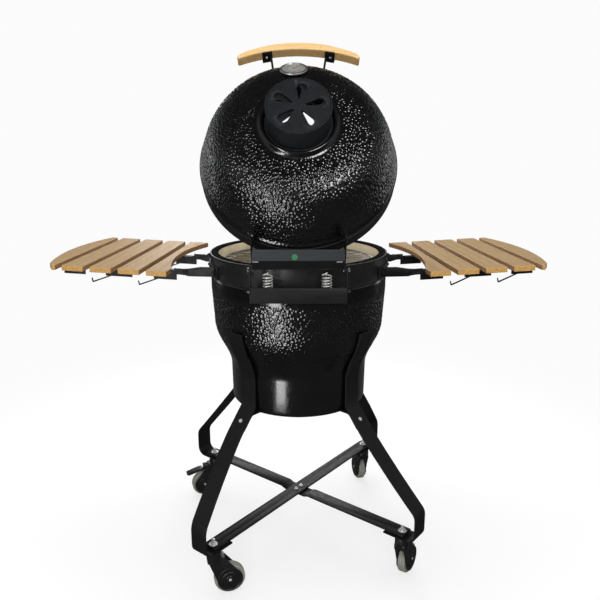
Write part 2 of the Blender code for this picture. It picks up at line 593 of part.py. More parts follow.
FLANGE = 0.0285         # depth of the bars' upright flange
FOLD_Z = -0.0190        # fold line below the top plane, in the shelf's own frame
for word, side in (("right", 1), ("left", -1)):
    frame = shelf_frame(side)
    fold = empty(f"shelf_{word}_fold", frame @ Matrix.Translation((FOLD_U, 0, FOLD_Z)))
    local = Matrix.Translation((-FOLD_U, 0, -FOLD_Z))
    for i in range(5):
        outline = [(u, side * v) for u, v in slat_outline(i)]
        from_bmesh(f"shelf_{word}_slat_{i + 1}", piece(add_prism, outline, -SLAT_T, 0.0), BAMBOO, parent=fold, at=local)
    top = -SLAT_T - GAP
    pieces = []
    for k, bar_v in enumerate(BAR_V):
        v = side * bar_v
        out = 1 if bar_v > 0 else -1        # the bar's upright flange stands on its outer side
        lo, hi = sorted((v, v - side * out * 0.022))
        pieces.append(piece(add_box, (0.352, lo, top - 0.003), (0.684, hi, top)))
        lo, hi = sorted((v, v - side * out * 0.003))
        # The upright has two windows, where the tool hooks are bent out of it.
        for a, b in ((0.342, 0.411), (0.476, 0.557), (0.619, 0.684)):
            pieces.append(piece(add_box, (a, lo, top - FLANGE), (b, hi, top)))
        # A lug carries the bar on to the fold line.
        pieces.append(piece(add_box, (FOLD_U - 0.009, lo, -0.028), (0.350, hi, -0.010)))
        for root_u in ((0.398, 0.540) if side > 0 else (0.493, 0.637)):
            # A hook runs down and along from the flange, then turns up at its tip.
            profile = [(-0.010, -0.0350), (-0.010, -0.0410), (0.001, -0.0450), (0.0555, -0.0670), (0.0590, -0.0660), (0.0615, -0.0535),
                       (0.0587, -0.0530), (0.0560, -0.0628), (0.006, -0.0432), (0.000, -0.0350)]
            m = sorted((lo, hi))
            pieces.append(piece(
                add_prism, [(root_u + du * side, n) for du, n in profile], -m[1], -m[0],
                Matrix(((1, 0, 0, 0), (0, 0, -1, 0), (0, 1, 0, 0), (0, 0, 0, 1))),
            ))
    for u in (0.40, 0.64):
        lo, hi = sorted((side * BAR_V[0], side * BAR_V[1]))
        pieces.append(piece(add_box, (u, lo + 0.001, top - 0.003), (u + 0.02, hi - 0.001, top)))
    shelf_bars = fuse(f"shelf_{word}_frame", pieces, STEEL_BLACK, parent=fold, at=local)
    hole = cutter(f"fold_hole_{word}", piece(add_rod, (FOLD_U, -0.2, FOLD_Z), (FOLD_U, 0.2, FOLD_Z), 0.0046, 16))
    hole.parent = fold
    hole.matrix_basis = local
    boolean(shelf_bars, hole)

    # Fixed mount: two arms and the curved plate that fastens them to the band.
    arm_pieces = []
    a0, a1 = math.radians(-28.5), math.radians(31)
    if side < 0:
        a0, a1 = math.pi - a1, math.pi - a0
    arm_pieces.append(sector(0.2699, 0.2735, -0.0625, -0.0265, a0, a1))
    level = (UP.inverted() @ frame)
    level_x = Vector((level[0][0], level[1][0], 0)).normalized()
    level_y = Vector((level[0][1], level[1][1], 0)).normalized()
    arm_frame = Matrix((level_x, level_y, Vector((0, 0, 1)))).transposed().to_4x4()
    pivot = (UP.inverted() @ frame) @ Vector((FOLD_U, 0, FOLD_Z))
    pu = pivot.dot(level_x)
    for bar_v, u_in in ((BAR_V[0], 0.232), (BAR_V[1], 0.2607)):
        v = side * bar_v
        out = 1 if bar_v > 0 else -1
        # The arm plate runs beside the bar's lug, on its inner side.
        near = v - side * out * 0.0035
        far = v - side * out * 0.0075
        lo, hi = sorted((near, far))
        outline = [(u_in, -0.0585), (pu - 0.012, -0.0585), (pu + 0.008, pivot.z - 0.008), (pu + 0.009, pivot.z),
                   (pu + 0.006, pivot.z + 0.008), (pu - 0.012, pivot.z + 0.009), (u_in + 0.04, -0.030), (u_in, -0.030)]
        arm_pieces.append(piece(
            add_prism, outline, -hi, -lo,
            arm_frame @ Matrix(((1, 0, 0, 0), (0, 0, -1, 0), (0, 1, 0, 0), (0, 0, 0, 1))),
        ))
        a = arm_frame @ Vector((pu, far, pivot.z))
        b = arm_frame @ Vector((pu, v + side * out * 0.006, pivot.z))
        arm_pieces.append(piece(add_rod, a, b, 0.0042, 16))
    fuse(f"shelf_{word}_mount", arm_pieces, STEEL_BLACK, at=UP)

# ---------------------------------------------------------------- cart
cart_top = empty("cart_top", UP @ Matrix.Rotation(TURN_TOP, 4, "Z"))
cart_foot = empty("cart_foot", UP @ Matrix.Rotation(TURN_FOOT, 4, "Z"))


def strip_outline(path, thickness):
    """Closed outline of a bent strip of the given thickness, centred on a path in (radius, height)."""
    left, right = [], []
    for i, p in enumerate(path):
        before = Vector(path[max(0, i - 1)])
        after = Vector(path[min(len(path) - 1, i + 1)])
        here = Vector(p)
        d0 = (here - before).normalized() if i else (after - here).normalized()
        d1 = (after - here).normalized() if i < len(path) - 1 else d0
        tangent = (d0 + d1).normalized()
        normal = Vector((-tangent.y, tangent.x))
        width = thickness / 2 / max(0.3, normal.dot(Vector((-d0.y, d0.x))))
        left.append(tuple(here + normal * width))
        right.append(tuple(here - normal * width))
    return left + right[::-1]


# radius and height of a leg's centre line: along the belly, down the cylinder, splayed out, then turned in.
LEG_OUT = 0.4555
SPLAY_TOP, SPLAY_LOW = (0.2185, -0.445), (LEG_OUT, -0.735)
KNEE_R = 0.045
FOOT_BEND = 0.0275
TAB_Z = -0.8245
slope = (Vector(SPLAY_LOW) - Vector(SPLAY_TOP)).normalized()
leg_path = [(0.2690, -0.190), (0.2655, -0.218), (0.2525, -0.264), (0.2330, -0.304), (0.2200, -0.345),
            (0.2183, -0.365), SPLAY_TOP]
knee_turn = math.atan2(slope.x, -slope.y)                  # how far the splay leans out of the vertical
tangent = KNEE_R * math.tan(knee_turn / 2)
for t in (0.2, 0.4, 0.6, 0.8):
    leg_path.append(tuple(Vector(SPLAY_TOP).lerp(Vector(SPLAY_LOW) - slope * tangent, t)))
for i in range(6):
    a = knee_turn * (1 - i / 5)
    leg_path.append((LEG_OUT - KNEE_R * (1 - math.cos(a)), SPLAY_LOW[1] - tangent + KNEE_R * math.sin(a)))
leg_path.append((LEG_OUT, TAB_Z + FOOT_BEND))
for i in range(1, 6):
    a = math.radians(90) * i / 5
    leg_path.append((LEG_OUT - FOOT_BEND * (1 - math.cos(a)), TAB_Z + FOOT_BEND * (1 - math.sin(a))))
leg_path.append((0.350, TAB_Z))
legs = (("rear_right", 45), ("rear_left", 135), ("front_left", 225), ("front_right", 315))
RADIAL = Matrix(((1, 0, 0, 0), (0, 0, -1, 0), (0, 1, 0, 0), (0, 0, 0, 1)))   # outline (radius, height) into the XZ plane


def turn_at(z):
    """How far the cart is turned about the axis at height z below the rim."""
    t = min(1.0, max(0.0, (-0.52 - z) / (-0.52 - SPLAY_LOW[1])))
    return TURN_TOP + (TURN_FOOT - TURN_TOP) * t


for word, deg in legs:
    bm = piece(add_prism, strip_outline(leg_path, LEG_T), -LEG_W / 2, LEG_W / 2, RADIAL)
    for vert in bm.verts:
        vert.co = Matrix.Rotation(turn_at(vert.co.z) + math.radians(deg), 3, "Z") @ vert.co
    leg = from_bmesh(f"leg_{word}", bm, STEEL_BLACK, at=UP)
    hole = cutter(f"stem_hole_{word}", piece(add_rod, (CASTER_R, 0, -0.84), (CASTER_R, 0, -0.81), 0.0057, 16))
    hole.parent = cart_foot
    hole.matrix_basis = Matrix.Rotation(math.radians(deg), 4, "Z")
    boolean(leg, hole)

# Cradle cross under the bowl: two bars in one plane, their ends bent down along the legs' inner faces.
inward = Vector((slope.y, -slope.x))          # from the leg's centre line towards the axis
CRADLE_Z = -BOWL_H - 0.0032
on_leg = Vector(SPLAY_TOP) + inward * 0.0056
corner = on_leg + slope * ((CRADLE_Z - on_leg.y) / slope.y)      # where the bar meets the leg's inner face
cradle_path = [(0.0, CRADLE_Z), (corner.x - 0.004, CRADLE_Z)]
cradle_path += [tuple(corner + slope * d) for d in (0.004, 0.052)]
cradle_pieces = []
for deg in (45, 135, 225, 315):
    turn = Matrix.Rotation(math.radians(deg), 4, "Z")
    cradle_pieces.append(piece(add_prism, strip_outline(cradle_path, LEG_T), -0.025, 0.025, turn @ RADIAL))
cradle = fuse("cradle_cross", cradle_pieces, STEEL_BLACK, parent=cart_top, at=Matrix.Identity(4))

# Lower cross brace: two flat bars; the second one is joggled to pass under the first.
BRACE_W, BRACE_T, BRACE_Z = 0.034, 0.005, -0.8192
upper = [(-0.4155, BRACE_Z), (0.4155, BRACE_Z)]
lower = [(-0.4155, BRACE_Z), (-0.055, BRACE_Z), (-0.040, BRACE_Z - 0.0056), (0.040, BRACE_Z - 0.0056), (0.055, BRACE_Z), (0.4155, BRACE_Z)]
for name, path, deg in (("brace_upper", upper, 45), ("brace_lower", lower, 135)):
    turn = Matrix.Rotation(math.radians(deg), 4, "Z")
    brace = from_bmesh(name, piece(add_prism, strip_outline(path, BRACE_T), -BRACE_W / 2, BRACE_W / 2, RADIAL), STEEL_BLACK, parent=cart_foot, at=turn)
    for side in (-1, 1):
        hole = cutter(f"{name}_hole_{side + 1}", piece(add_rod, (side * CASTER_R, 0, -0.84), (side * CASTER_R, 0, -0.81), 0.0057, 16))
        hole.parent = cart_foot
        hole.matrix_basis = turn
        boolean(brace, hole)

# ---------------------------------------------------------------- casters
WHEEL_Z = -RIM_Z + WHEEL_R
HEADINGS = {"rear_right": 195, "rear_left": 238, "front_left": 283, "front_right": 18}   # direction of trail, in degrees


def hull_plate(points, y0, y1):
    """Convex plate through (x, z) points between two y planes."""
    bm = bmesh.new()
    for y in (y0, y1):
        for x, z in points:
            bm.verts.new((x, y, z))
    made = bmesh.ops.convex_hull(bm, input=bm.verts[:])
    spare = [g for g in made["geom_interior"] if isinstance(g, bmesh.types.BMVert)]
    bmesh.ops.delete(bm, geom=spare, context="VERTS")
    return bm


for word, deg in legs:
    turn = Matrix.Rotation(math.radians(deg), 4, "Z")
    foot = cart_foot.matrix_basis @ turn @ Matrix.Translation((CASTER_R, 0, 0))
    fuse(
        f"caster_stem_{word}",
        [piece(add_rod, (0, 0, -0.8272), (0, 0, -0.797), 0.0052, 12),
         piece(add_rod, (0, 0, -0.8163), (0, 0, -0.8080), 0.0095, 6)],
        ZINC, at=Matrix.Translation((foot.translation.x, foot.translation.y, RIM_Z)),
    )
    swivel = empty(
        f"swivel_{word}",
        Matrix.Translation((foot.translation.x, foot.translation.y, RIM_Z)) @ Matrix.Rotation(math.radians(HEADINGS[word]), 4, "Z"),
    )
    disc = [(TRAIL + 0.0355 * math.cos(math.tau * k / 18), WHEEL_Z + 0.0355 * math.sin(math.tau * k / 18)) for k in range(18)]
    head = [(-0.021, -0.858), (-0.017, -0.852), (0.020, -0.852), (0.034, -0.862)]
    y_in, y_out = WHEEL_W / 2 + 0.0008, WHEEL_W / 2 + 0.0044
    fork = [
        hull_plate(disc + head, y_in, y_out),
        hull_plate(disc + head, -y_out, -y_in),
        piece(add_rod, (0, 0, -0.862), (0, 0, -0.8277), 0.0215, 20),
        piece(add_box, (-0.0205, -0.0160, -0.869), (0.030, 0.0160, -0.854)),
        piece(add_rod, (TRAIL, -0.0195, WHEEL_Z), (TRAIL, 0.0195, WHEEL_Z), 0.0040, 14),
    ]
    if word.startswith("front"):
        fork.append(piece(add_box, (0.025, -0.0135, -0.872), (0.0465, 0.0135, -0.858)))   # carries the brake pedal
    fuse(f"caster_fork_{word}", fork, PLASTIC, parent=swivel, at=Matrix.Identity(4))
    axle = empty(f"axle_{word}", Matrix.Translation((TRAIL, 0, WHEEL_Z)) @ Matrix.Rotation(math.radians(-90), 4, "X"), parent=swivel)
    sides = 24
    r = WHEEL_R / math.cos(math.pi / sides)     # flats of the tread touch the floor
    half = WHEEL_W / 2
    lathe(
        f"wheel_{word}",
        [(r - 0.004, half), (r, half - 0.004), (r, -half + 0.004), (r - 0.004, -half), (0.0045, -half), (0.0045, half)],
        RUBBER, parent=axle, at=Matrix.Rotation(math.pi / sides, 4, "Z"), steps=sides,
    )
    if word.startswith("front"):
        pedal_axis = empty(f"pedal_axis_{word}", Matrix.Translation((0.054, 0, -0.872)), parent=swivel)
        fuse(
            f"brake_pedal_{word}",
            [piece(add_prism, [(-0.006, -0.004), (0.010, -0.006), (0.048, -0.017), (0.056, -0.013), (0.054, -0.010), (0.012, 0.003), (-0.002, 0.005)],
                   -0.0135, 0.0135, RADIAL)],
            PLASTIC, parent=pedal_axis, at=Matrix.Identity(4),
        )
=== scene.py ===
"""A round ceramic grill on a cart with four casters, its lid raised on a rear hinge.

Metres, +Z up, wheels standing on z = 0, turned pieces about the Z axis. The front, with the
draft door and the lid's handle, is -Y; the hinge is +Y; right is +X. Pieces are drawn in the
RIM frame, whose origin is the middle of the bowl's rim, or in the LID frame, which is the RIM
frame swung up about the hinge line.
"""

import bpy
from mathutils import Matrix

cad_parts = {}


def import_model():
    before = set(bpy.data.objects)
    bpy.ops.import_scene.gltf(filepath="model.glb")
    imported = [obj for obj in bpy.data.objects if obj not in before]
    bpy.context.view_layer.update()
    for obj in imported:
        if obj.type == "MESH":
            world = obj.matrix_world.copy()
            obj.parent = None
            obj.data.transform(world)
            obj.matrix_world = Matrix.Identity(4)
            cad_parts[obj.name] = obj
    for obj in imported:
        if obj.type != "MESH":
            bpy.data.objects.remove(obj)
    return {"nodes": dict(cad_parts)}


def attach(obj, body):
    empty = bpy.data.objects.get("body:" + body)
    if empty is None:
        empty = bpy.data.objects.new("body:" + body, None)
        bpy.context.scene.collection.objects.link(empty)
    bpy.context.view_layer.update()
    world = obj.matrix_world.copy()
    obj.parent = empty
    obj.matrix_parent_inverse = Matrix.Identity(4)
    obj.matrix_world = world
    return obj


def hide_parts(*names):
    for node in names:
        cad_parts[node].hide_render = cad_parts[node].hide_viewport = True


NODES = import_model()["nodes"]
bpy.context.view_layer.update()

import math
from contextlib import contextmanager

import bmesh
import bpy
import numpy as np
from mathutils import Matrix, Vector, noise

TAU = math.tau
FRONT = -math.pi / 2
HERE = Matrix.Identity(4)


def shift(x, y, z):
    return Matrix.Translation((x, y, z))


def spin(degrees, axis="Z"):
    return Matrix.Rotation(math.radians(degrees), 4, axis)


RIM_Z = 0.977
HINGE_Y = 0.308
RIM = shift(0, 0, RIM_Z)
LID = shift(0, HINGE_Y, RIM_Z) @ spin(-53.3, "X") @ shift(0, -HINGE_Y, 0)
SIDES = (("right", 1), ("left", -1))
# Corner, angle of its leg and heading of its caster, in degrees.
CORNERS = (("rear_right", 45, 195), ("rear_left", 135, 238), ("front_left", 225, 283),
           ("front_right", 315, 18))


# ------------------------------------------------------------------ shader nodes
def linear(level):
    level /= 255
    return level / 12.92 if level <= 0.04045 else ((level + 0.055) / 1.055) ** 2.4


def colour(rgb):
    """Linear RGBA from sRGB bytes; a socket passes through."""
    return rgb if isinstance(rgb, bpy.types.NodeSocket) else (*map(linear, rgb), 1.0)


def shade(rgb, factor):
    return tuple(c * factor for c in rgb)


def fresh_tree(owner):
    owner.use_nodes = True
    owner.node_tree.nodes.clear()
    return owner.node_tree


def wire(tree, node, sockets):
    """Links or sets a node's inputs, from a dict by name or index or from a list in order."""
    for key, value in sockets.items() if isinstance(sockets, dict) else enumerate(sockets):
        if isinstance(value, bpy.types.NodeSocket):
            tree.links.new(value, node.inputs[key])
        elif value is not None:
            node.inputs[key].default_value = value


def add_node(tree, kind, sockets=(), **settings):
    node = tree.nodes.new("ShaderNode" + kind)
    for key, value in settings.items():
        setattr(node, key, value)
    wire(tree, node, sockets)
    return node


class Material:
    """A Principled material with short calls for its nodes; colours are sRGB bytes."""

    def __init__(self, name):
        self.data = bpy.data.materials.new(name)
        self.tree = fresh_tree(self.data)
        output = self.add("OutputMaterial")
        self.shader = self.add("BsdfPrincipled", {"Base Color": (0.5, 0.5, 0.5, 1)})
        wire(self.tree, output, {"Surface": self.shader.outputs[0]})
        self.coords = self.add("TexCoord").outputs["Object"]

    def add(self, kind, sockets=(), **settings):
        return add_node(self.tree, kind, sockets, **settings)

    def finish(self, sockets):
        wire(self.tree, self.shader, sockets)
        return self.data

    def stretched(self, factors):
        node = self.add("VectorMath", [self.coords, factors], operation="MULTIPLY")
        return node.outputs[0]

    def noise(self, scale, detail=2, roughness=0.5, vector=None, distortion=0):
        return self.add("TexNoise", {
            "Vector": vector or self.coords, "Scale": scale, "Detail": detail,
            "Roughness": roughness, "Distortion": distortion}).outputs["Fac"]

    def voronoi(self, scale, output="Distance"):
        node = self.add("TexVoronoi", {"Vector": self.coords, "Scale": scale})
        return node.outputs[output]

    def math(self, operation, a, b=None):
        return self.add("Math", [a, b], operation=operation).outputs[0]

    def remap(self, value, band, to):
        return self.add("MapRange", [value, *band, *to]).outputs[0]

    def patches(self, to, band=(0.3, 0.7), **grain):
        """Noise whose band is remapped to the range given."""
        return self.remap(self.noise(**grain), band, to)

    def ramp(self, value, stops):
        node = self.add("ValToRGB", [value])
        elements = node.color_ramp.elements
        while len(elements) < len(stops):
            elements.new(0.5)
        for element, (position, rgb) in zip(elements, stops.items()):
            element.position = position
            element.color = colour(rgb)
        return node.outputs[0]

    def mottle(self, stops, **grain):
        return self.ramp(self.noise(**grain), stops)

    def mix(self, amount, a, b, blend="MIX"):
        return self.add("Mix", {0: amount, 6: colour(a), 7: colour(b)},
                        data_type="RGBA", blend_type=blend).outputs[2]

    def bump(self, height, distance, strength=1.0, under=None):
        return self.add("Bump", {"Distance": distance, "Strength": strength,
                                 "Height": height, "Normal": under}).outputs[0]

    def split(self, vector):
        return self.add("SeparateXYZ", [vector]).outputs

    def random(self, x, y, z):
        cell = self.add("CombineXYZ", [x, y, z]).outputs[0]
        return self.add("TexWhiteNoise", [cell]).outputs["Value"]

    def edges(self, low=0.51, high=0.56):
        """0 on flat faces to 1 on sharp convex edges."""
        pointiness = self.add("NewGeometry").outputs["Pointiness"]
        return self.remap(pointiness, (low, high), (0, 1))


# ------------------------------------------------------------------ materials
def make_glaze(name, roughness, wave):
    m = Material(name)
    fine = m.bump(m.noise(scale=1100), distance=0.00006, strength=0.4)
    waves = m.noise(scale=150, distortion=0.6)
    return m.finish({
        "Base Color": m.mottle({0.35: (9, 9, 10), 0.7: (14, 14, 15)}, scale=16, detail=4),
        "Roughness": m.patches(roughness, scale=70, detail=4),
        "Normal": m.bump(waves, distance=0.0006, strength=wave, under=fine),
        "Coat Weight": 0.5,
        "Coat Roughness": 0.07})


def make_ceramic(name, sooty):
    m = Material(name)
    base = m.mottle({0.3: (206, 190, 158), 0.7: (226, 213, 184)},
                    scale=24, detail=5, roughness=0.6)
    speck = m.remap(m.voronoi(scale=420), band=(0, 0.16), to=(1, 0))
    base = m.mix(m.math("MULTIPLY", speck, 0.55), base, (112, 92, 66))
    if sooty:
        soot = m.patches(to=(0, 0.35), band=(0.45, 0.75), scale=9, detail=4)
        base = m.mix(soot, base, (70, 62, 54))
    fine = m.bump(m.noise(scale=2400), distance=0.0001, strength=0.5)
    grain = m.noise(scale=380, detail=4, roughness=0.7)
    return m.finish({
        "Base Color": base,
        "Roughness": 0.85,
        "Normal": m.bump(grain, distance=0.0005, strength=0.5, under=fine)})


def make_powder(name, base=(22, 22, 21), roughness=0.5, worn=(52, 52, 50), specular=0.22):
    """Powder-coated steel, worn along its edges."""
    m = Material(name)
    tone = m.mottle({0.3: shade(base, 0.86), 0.7: shade(base, 1.14)}, scale=30, detail=4)
    chips = m.patches(to=(0, 0.4), band=(0.42, 0.7), scale=260, detail=4, roughness=0.7)
    wear = m.math("MULTIPLY", m.edges(0.56, 0.66), chips)
    broad = m.bump(m.noise(scale=160), distance=0.0004, strength=0.12)
    grain = m.noise(scale=1300, roughness=0.4)
    return m.finish({
        "Base Color": m.mix(wear, tone, worn),
        "Roughness": m.patches(to=(roughness - 0.07, roughness + 0.09), scale=90, detail=4),
        "Specular IOR Level": specular,
        "Normal": m.bump(grain, distance=0.00018, strength=0.42, under=broad)})


def make_iron(name):
    m = Material(name)
    tone = m.mottle({0.3: (18, 20, 23), 0.72: (27, 29, 33)}, scale=40, detail=5, roughness=0.6)
    chips = m.patches(to=(0, 0.7), band=(0.4, 0.7), scale=300, detail=3)
    wear = m.math("MULTIPLY", m.edges(), chips)
    grain = m.bump(m.noise(scale=1500, detail=4, roughness=0.75), distance=0.0003, strength=0.6)
    return m.finish({
        "Base Color": m.mix(wear, tone, (86, 88, 92)),
        "Specular IOR Level": 0.25,
        "Roughness": m.patches(to=(0.5, 0.72), scale=200, detail=4),
        "Normal": m.bump(m.voronoi(scale=620), distance=0.0004, strength=0.4, under=grain)})


def make_steel(name, tone=(182, 182, 180), roughness=0.26, stretch=(1, 1, 40), dirt=0.25):
    """Brushed steel: streaks of noise stretched by the factors given."""
    m = Material(name)
    streak = m.noise(scale=160, detail=3, roughness=0.6, vector=m.stretched(stretch))
    base = m.mix(m.remap(streak, band=(0.3, 0.7), to=(0, 0.5)), tone, shade(tone, 0.78))
    grime = m.patches(to=(0, dirt), band=(0.55, 0.8), scale=28, detail=4)
    gloss = (roughness - 0.06, roughness + 0.1)
    return m.finish({
        "Metallic": 1.0,
        "Base Color": m.mix(grime, base, (96, 90, 82)),
        "Roughness": m.remap(streak, band=(0.3, 0.7), to=gloss),
        "Normal": m.bump(streak, distance=0.0001, strength=0.3)})


def make_zinc(name):
    m = Material(name)
    spangle = m.voronoi(scale=260, output="Color")
    base = m.mix(0.12, (216, 216, 212), spangle, "SOFT_LIGHT")
    grime = m.patches(to=(0, 0.35), band=(0.5, 0.75), scale=180, detail=4)
    return m.finish({
        "Metallic": 0.4,
        "Base Color": m.mix(grime, base, (120, 116, 104)),
        "Roughness": m.patches(to=(0.22, 0.4), scale=300, detail=3),
        "Normal": m.bump(m.noise(scale=900, detail=3), distance=0.0001, strength=0.35)})


STRIP_W, STRIP_T = 0.0068, 0.0052  # one glued bamboo strip
NODE_STEP = 0.24  # distance between the node marks of a strip


def make_bamboo(name, at, along="Y", side_shade=0.7, light=(181, 151, 110), dark=(155, 123, 84)):
    """Laminated bamboo: glued strips of varied tone in the frame at, with fibres and nodes.

    flank is how far the narrow side faces take a darker, warmer brown of painted shade.
    """
    m = Material(name)
    turn = at.to_euler()
    m.coords = m.add("Mapping", {"Vector": m.coords, "Location": at.translation,
                                 "Rotation": turn}, vector_type="TEXTURE").outputs[0]
    x, y, z = m.split(m.coords)
    length, across = (y, x) if along == "Y" else (x, y)
    strip = m.math("FLOOR", m.math("DIVIDE", across, STRIP_W))
    layer = m.math("FLOOR", m.math("DIVIDE", z, STRIP_T))
    key = m.random(strip, layer, 3.0)
    node_key = m.random(layer, strip, 11.0)
    middle = tuple((a + b) / 2 for a, b in zip(light, dark))
    base = m.ramp(key, {0.0: dark, 0.45: middle, 1.0: light})
    base = m.mix(0.35, base, m.mix(m.noise(scale=5, detail=3), dark, light))
    # Fibres are noise drawn out along the strips.
    stretch = (900, 14, 900) if along == "Y" else (14, 900, 900)
    fibre = m.noise(scale=1, detail=3, roughness=0.6, vector=m.stretched(stretch))
    base = m.mix(m.remap(fibre, band=(0.42, 0.72), to=(0, 0.42)), base, shade(dark, 0.66))
    # A node mark is a thin dark line across a strip, at a place of the strip's own.
    along_strip = m.math("DIVIDE", length, NODE_STEP)
    phase = m.math("FRACT", m.math("ADD", along_strip, m.math("MULTIPLY", node_key, 7.3)))
    off_node = m.math("ABSOLUTE", m.math("SUBTRACT", phase, 0.5))
    base = m.mix(m.remap(off_node, band=(0, 0.006), to=(0.6, 0)), base, (116, 84, 50))
    # Glue lines between strips.
    seam = m.math("FRACT", m.math("DIVIDE", across, STRIP_W))
    off_middle = m.math("ABSOLUTE", m.math("SUBTRACT", seam, 0.5))
    line = m.remap(off_middle, band=(0.47, 0.5), to=(0, 0.45))
    base = m.mix(line, base, shade(dark, 0.6))
    # End grain is warmer than the planed faces. The narrow side faces get a darker, warmer brown
    # that is painted shade.
    facing = m.add("Mapping", {"Vector": m.add("TexCoord").outputs["Normal"],
                               "Rotation": turn}, vector_type="TEXTURE").outputs[0]
    nx, ny, nz = m.split(facing)
    end_axis = m.math("ABSOLUTE", ny if along == "Y" else nx)
    end = m.remap(end_axis, band=(0.55, 0.85), to=(0, 1))
    side = m.remap(m.math("ABSOLUTE", nz), band=(0.35, 0.8), to=(1, 0))
    pores = m.remap(m.voronoi(scale=1500), band=(0, 0.35), to=(0.5, 0))
    grain = m.mix(pores, m.mix(key, (228, 176, 88), (202, 146, 64)), (128, 82, 36))
    # Painted shade: the side faces darken toward a warm brown.
    base = m.mix(m.math("MULTIPLY", side, side_shade), base, (146, 90, 40))
    base = m.mix(m.math("MULTIPLY", end, 0.85), base, grain)
    base = m.mix(m.math("MULTIPLY", m.edges(0.5, 0.6), 0.35), base, (226, 196, 150))
    relief = m.math("SUBTRACT", fibre, m.math("MULTIPLY", line, 0.8))
    return m.finish({
        "Base Color": base,
        "Roughness": m.remap(fibre, band=(0.3, 0.7), to=(0.42, 0.6)),
        "Specular IOR Level": 0.22,
        "Normal": m.bump(relief, distance=0.00009, strength=0.3)})


def make_felt(name):
    m = Material(name)
    nap = m.noise(scale=1800, detail=4, roughness=0.8)
    return m.finish({
        "Base Color": m.mottle({0.3: (2, 2, 2), 0.75: (8, 8, 8)},
                               scale=900, detail=4, roughness=0.7),
        "Roughness": 1.0,
        "Specular IOR Level": 0.05,
        "Normal": m.bump(nap, distance=0.0006, strength=0.8)})


def make_tread(name):
    m = Material(name)
    base = m.mottle({0.3: (140, 137, 126), 0.7: (170, 168, 158)},
                    scale=120, detail=5, roughness=0.65)
    dust = m.patches(to=(0, 0.5), band=(0.55, 0.75), scale=60, detail=4, roughness=0.7)
    return m.finish({
        "Base Color": m.mix(dust, base, (94, 88, 78)),
        "Roughness": 0.62,
        "Normal": m.bump(m.noise(scale=1400, detail=3), distance=0.00025, strength=0.5)})


def make_plastic(name):
    m = Material(name)
    return m.finish({
        "Base Color": m.mottle({0.3: (19, 19, 20), 0.7: (29, 29, 30)}, scale=80, detail=4),
        "Roughness": m.patches(to=(0.3, 0.46), scale=220, detail=3),
        "Normal": m.bump(m.voronoi(scale=1500), distance=0.00012, strength=0.4)})


def make_hinge(name):
    m = Material(name)
    streak = m.noise(scale=26, detail=4, roughness=0.6, vector=m.stretched((0.15, 12, 12)))
    return m.finish({
        "Base Color": m.ramp(streak, {0.25: (26, 31, 34), 0.75: (52, 58, 63)}),
        "Specular IOR Level": 0.35,
        "Roughness": m.remap(streak, band=(0.3, 0.7), to=(0.42, 0.58)),
        "Normal": m.bump(m.noise(scale=900), distance=0.00008, strength=0.2)})


def make_dial(name):
    """A dial face under glass."""
    m = Material(name)
    stain = m.patches(to=(0, 0.5), scale=90, detail=4)
    return m.finish({
        "Base Color": m.mix(stain, (150, 149, 143), (98, 96, 90)),
        "Roughness": 0.35,
        "Coat Weight": 1.0,
        "Coat Roughness": 0.03,
        "Normal": m.bump(m.noise(scale=500), distance=0.00005, strength=0.2)})


def make_paint(name, rgb, roughness):
    m = Material(name)
    fade = m.patches(to=(0, 0.4), scale=300, detail=3)
    return m.finish({
        "Base Color": m.mix(fade, rgb, shade(rgb, 0.75)),
        "Roughness": roughness,
        "Normal": m.bump(m.noise(scale=900), distance=0.00006, strength=0.3)})


EVEN = (1, 1, 1)  # no brushing direction
GLAZE = make_glaze("glaze_pebbled", roughness=(0.13, 0.24), wave=0.35)
GLAZE_BOWL = make_glaze("glaze_bowl", roughness=(0.12, 0.22), wave=0.8)
make_ceramic("ceramic_cream", sooty=False)  # a clean spare that no piece wears
CERAMIC = make_ceramic("ceramic_inside", sooty=True)
POWDER = make_powder("powder_black")
BAND = make_powder("band_black", (27, 27, 26), roughness=0.38, worn=(58, 58, 56), specular=0.4)
IRON = make_iron("iron_matte")
STEEL = make_steel("steel_brushed")
CHROME = make_steel("chrome_ring", (224, 224, 222), roughness=0.36, stretch=EVEN, dirt=0.1)
ZINC = make_zinc("zinc_plate")
BOLT = make_steel("bolt_grey", (112, 112, 110), roughness=0.42, stretch=EVEN, dirt=0.3)
BAMBOO_HANDLE = make_bamboo("bamboo_handle", LID, along="X", side_shade=0.12,
                            light=(248, 208, 146), dark=(228, 184, 118))
FELT = make_felt("felt_black")
TREAD = make_tread("tread_grey")
PLASTIC = make_plastic("plastic_black")
HINGE = make_hinge("hinge_grey")
DIAL = make_dial("dial_face")
INK = make_paint("dial_ink", (30, 30, 30), roughness=0.4)
RED = make_paint("needle_red", (150, 40, 30), roughness=0.4)
GREEN = make_paint("sticker_green", (52, 140, 84), roughness=0.35)


# ------------------------------------------------------------------ objects
def place(obj, mats, at, body, slot, stands_for=None):
    for mat in (mats if isinstance(mats, list) else [mats]):
        obj.data.materials.append(mat)
    obj.data.transform(at)
    obj.data.update()
    obj.matrix_world = HERE
    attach(obj, body)
    if stands_for:
        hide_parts(stands_for)
    return obj


def link(name, data):
    obj = bpy.data.objects.new(name, data)
    bpy.context.scene.collection.objects.link(obj)
    return obj


def mesh_object(name, bm, outward=True):
    """Turns a bmesh into an object, its normals facing out if asked."""
    if outward:
        bmesh.ops.recalc_face_normals(bm, faces=bm.faces)
    mesh = bpy.data.meshes.new(name)
    bm.to_mesh(mesh)
    bm.free()
    return link(name, mesh)


@contextmanager
def editing(mesh):
    bm = bmesh.new()
    bm.from_mesh(mesh)
    yield bm
    bm.to_mesh(mesh)
    bm.free()


def evaluated(obj):
    bpy.context.view_layer.update()
    graph = bpy.context.evaluated_depsgraph_get()
    return bpy.data.meshes.new_from_object(obj.evaluated_get(graph))


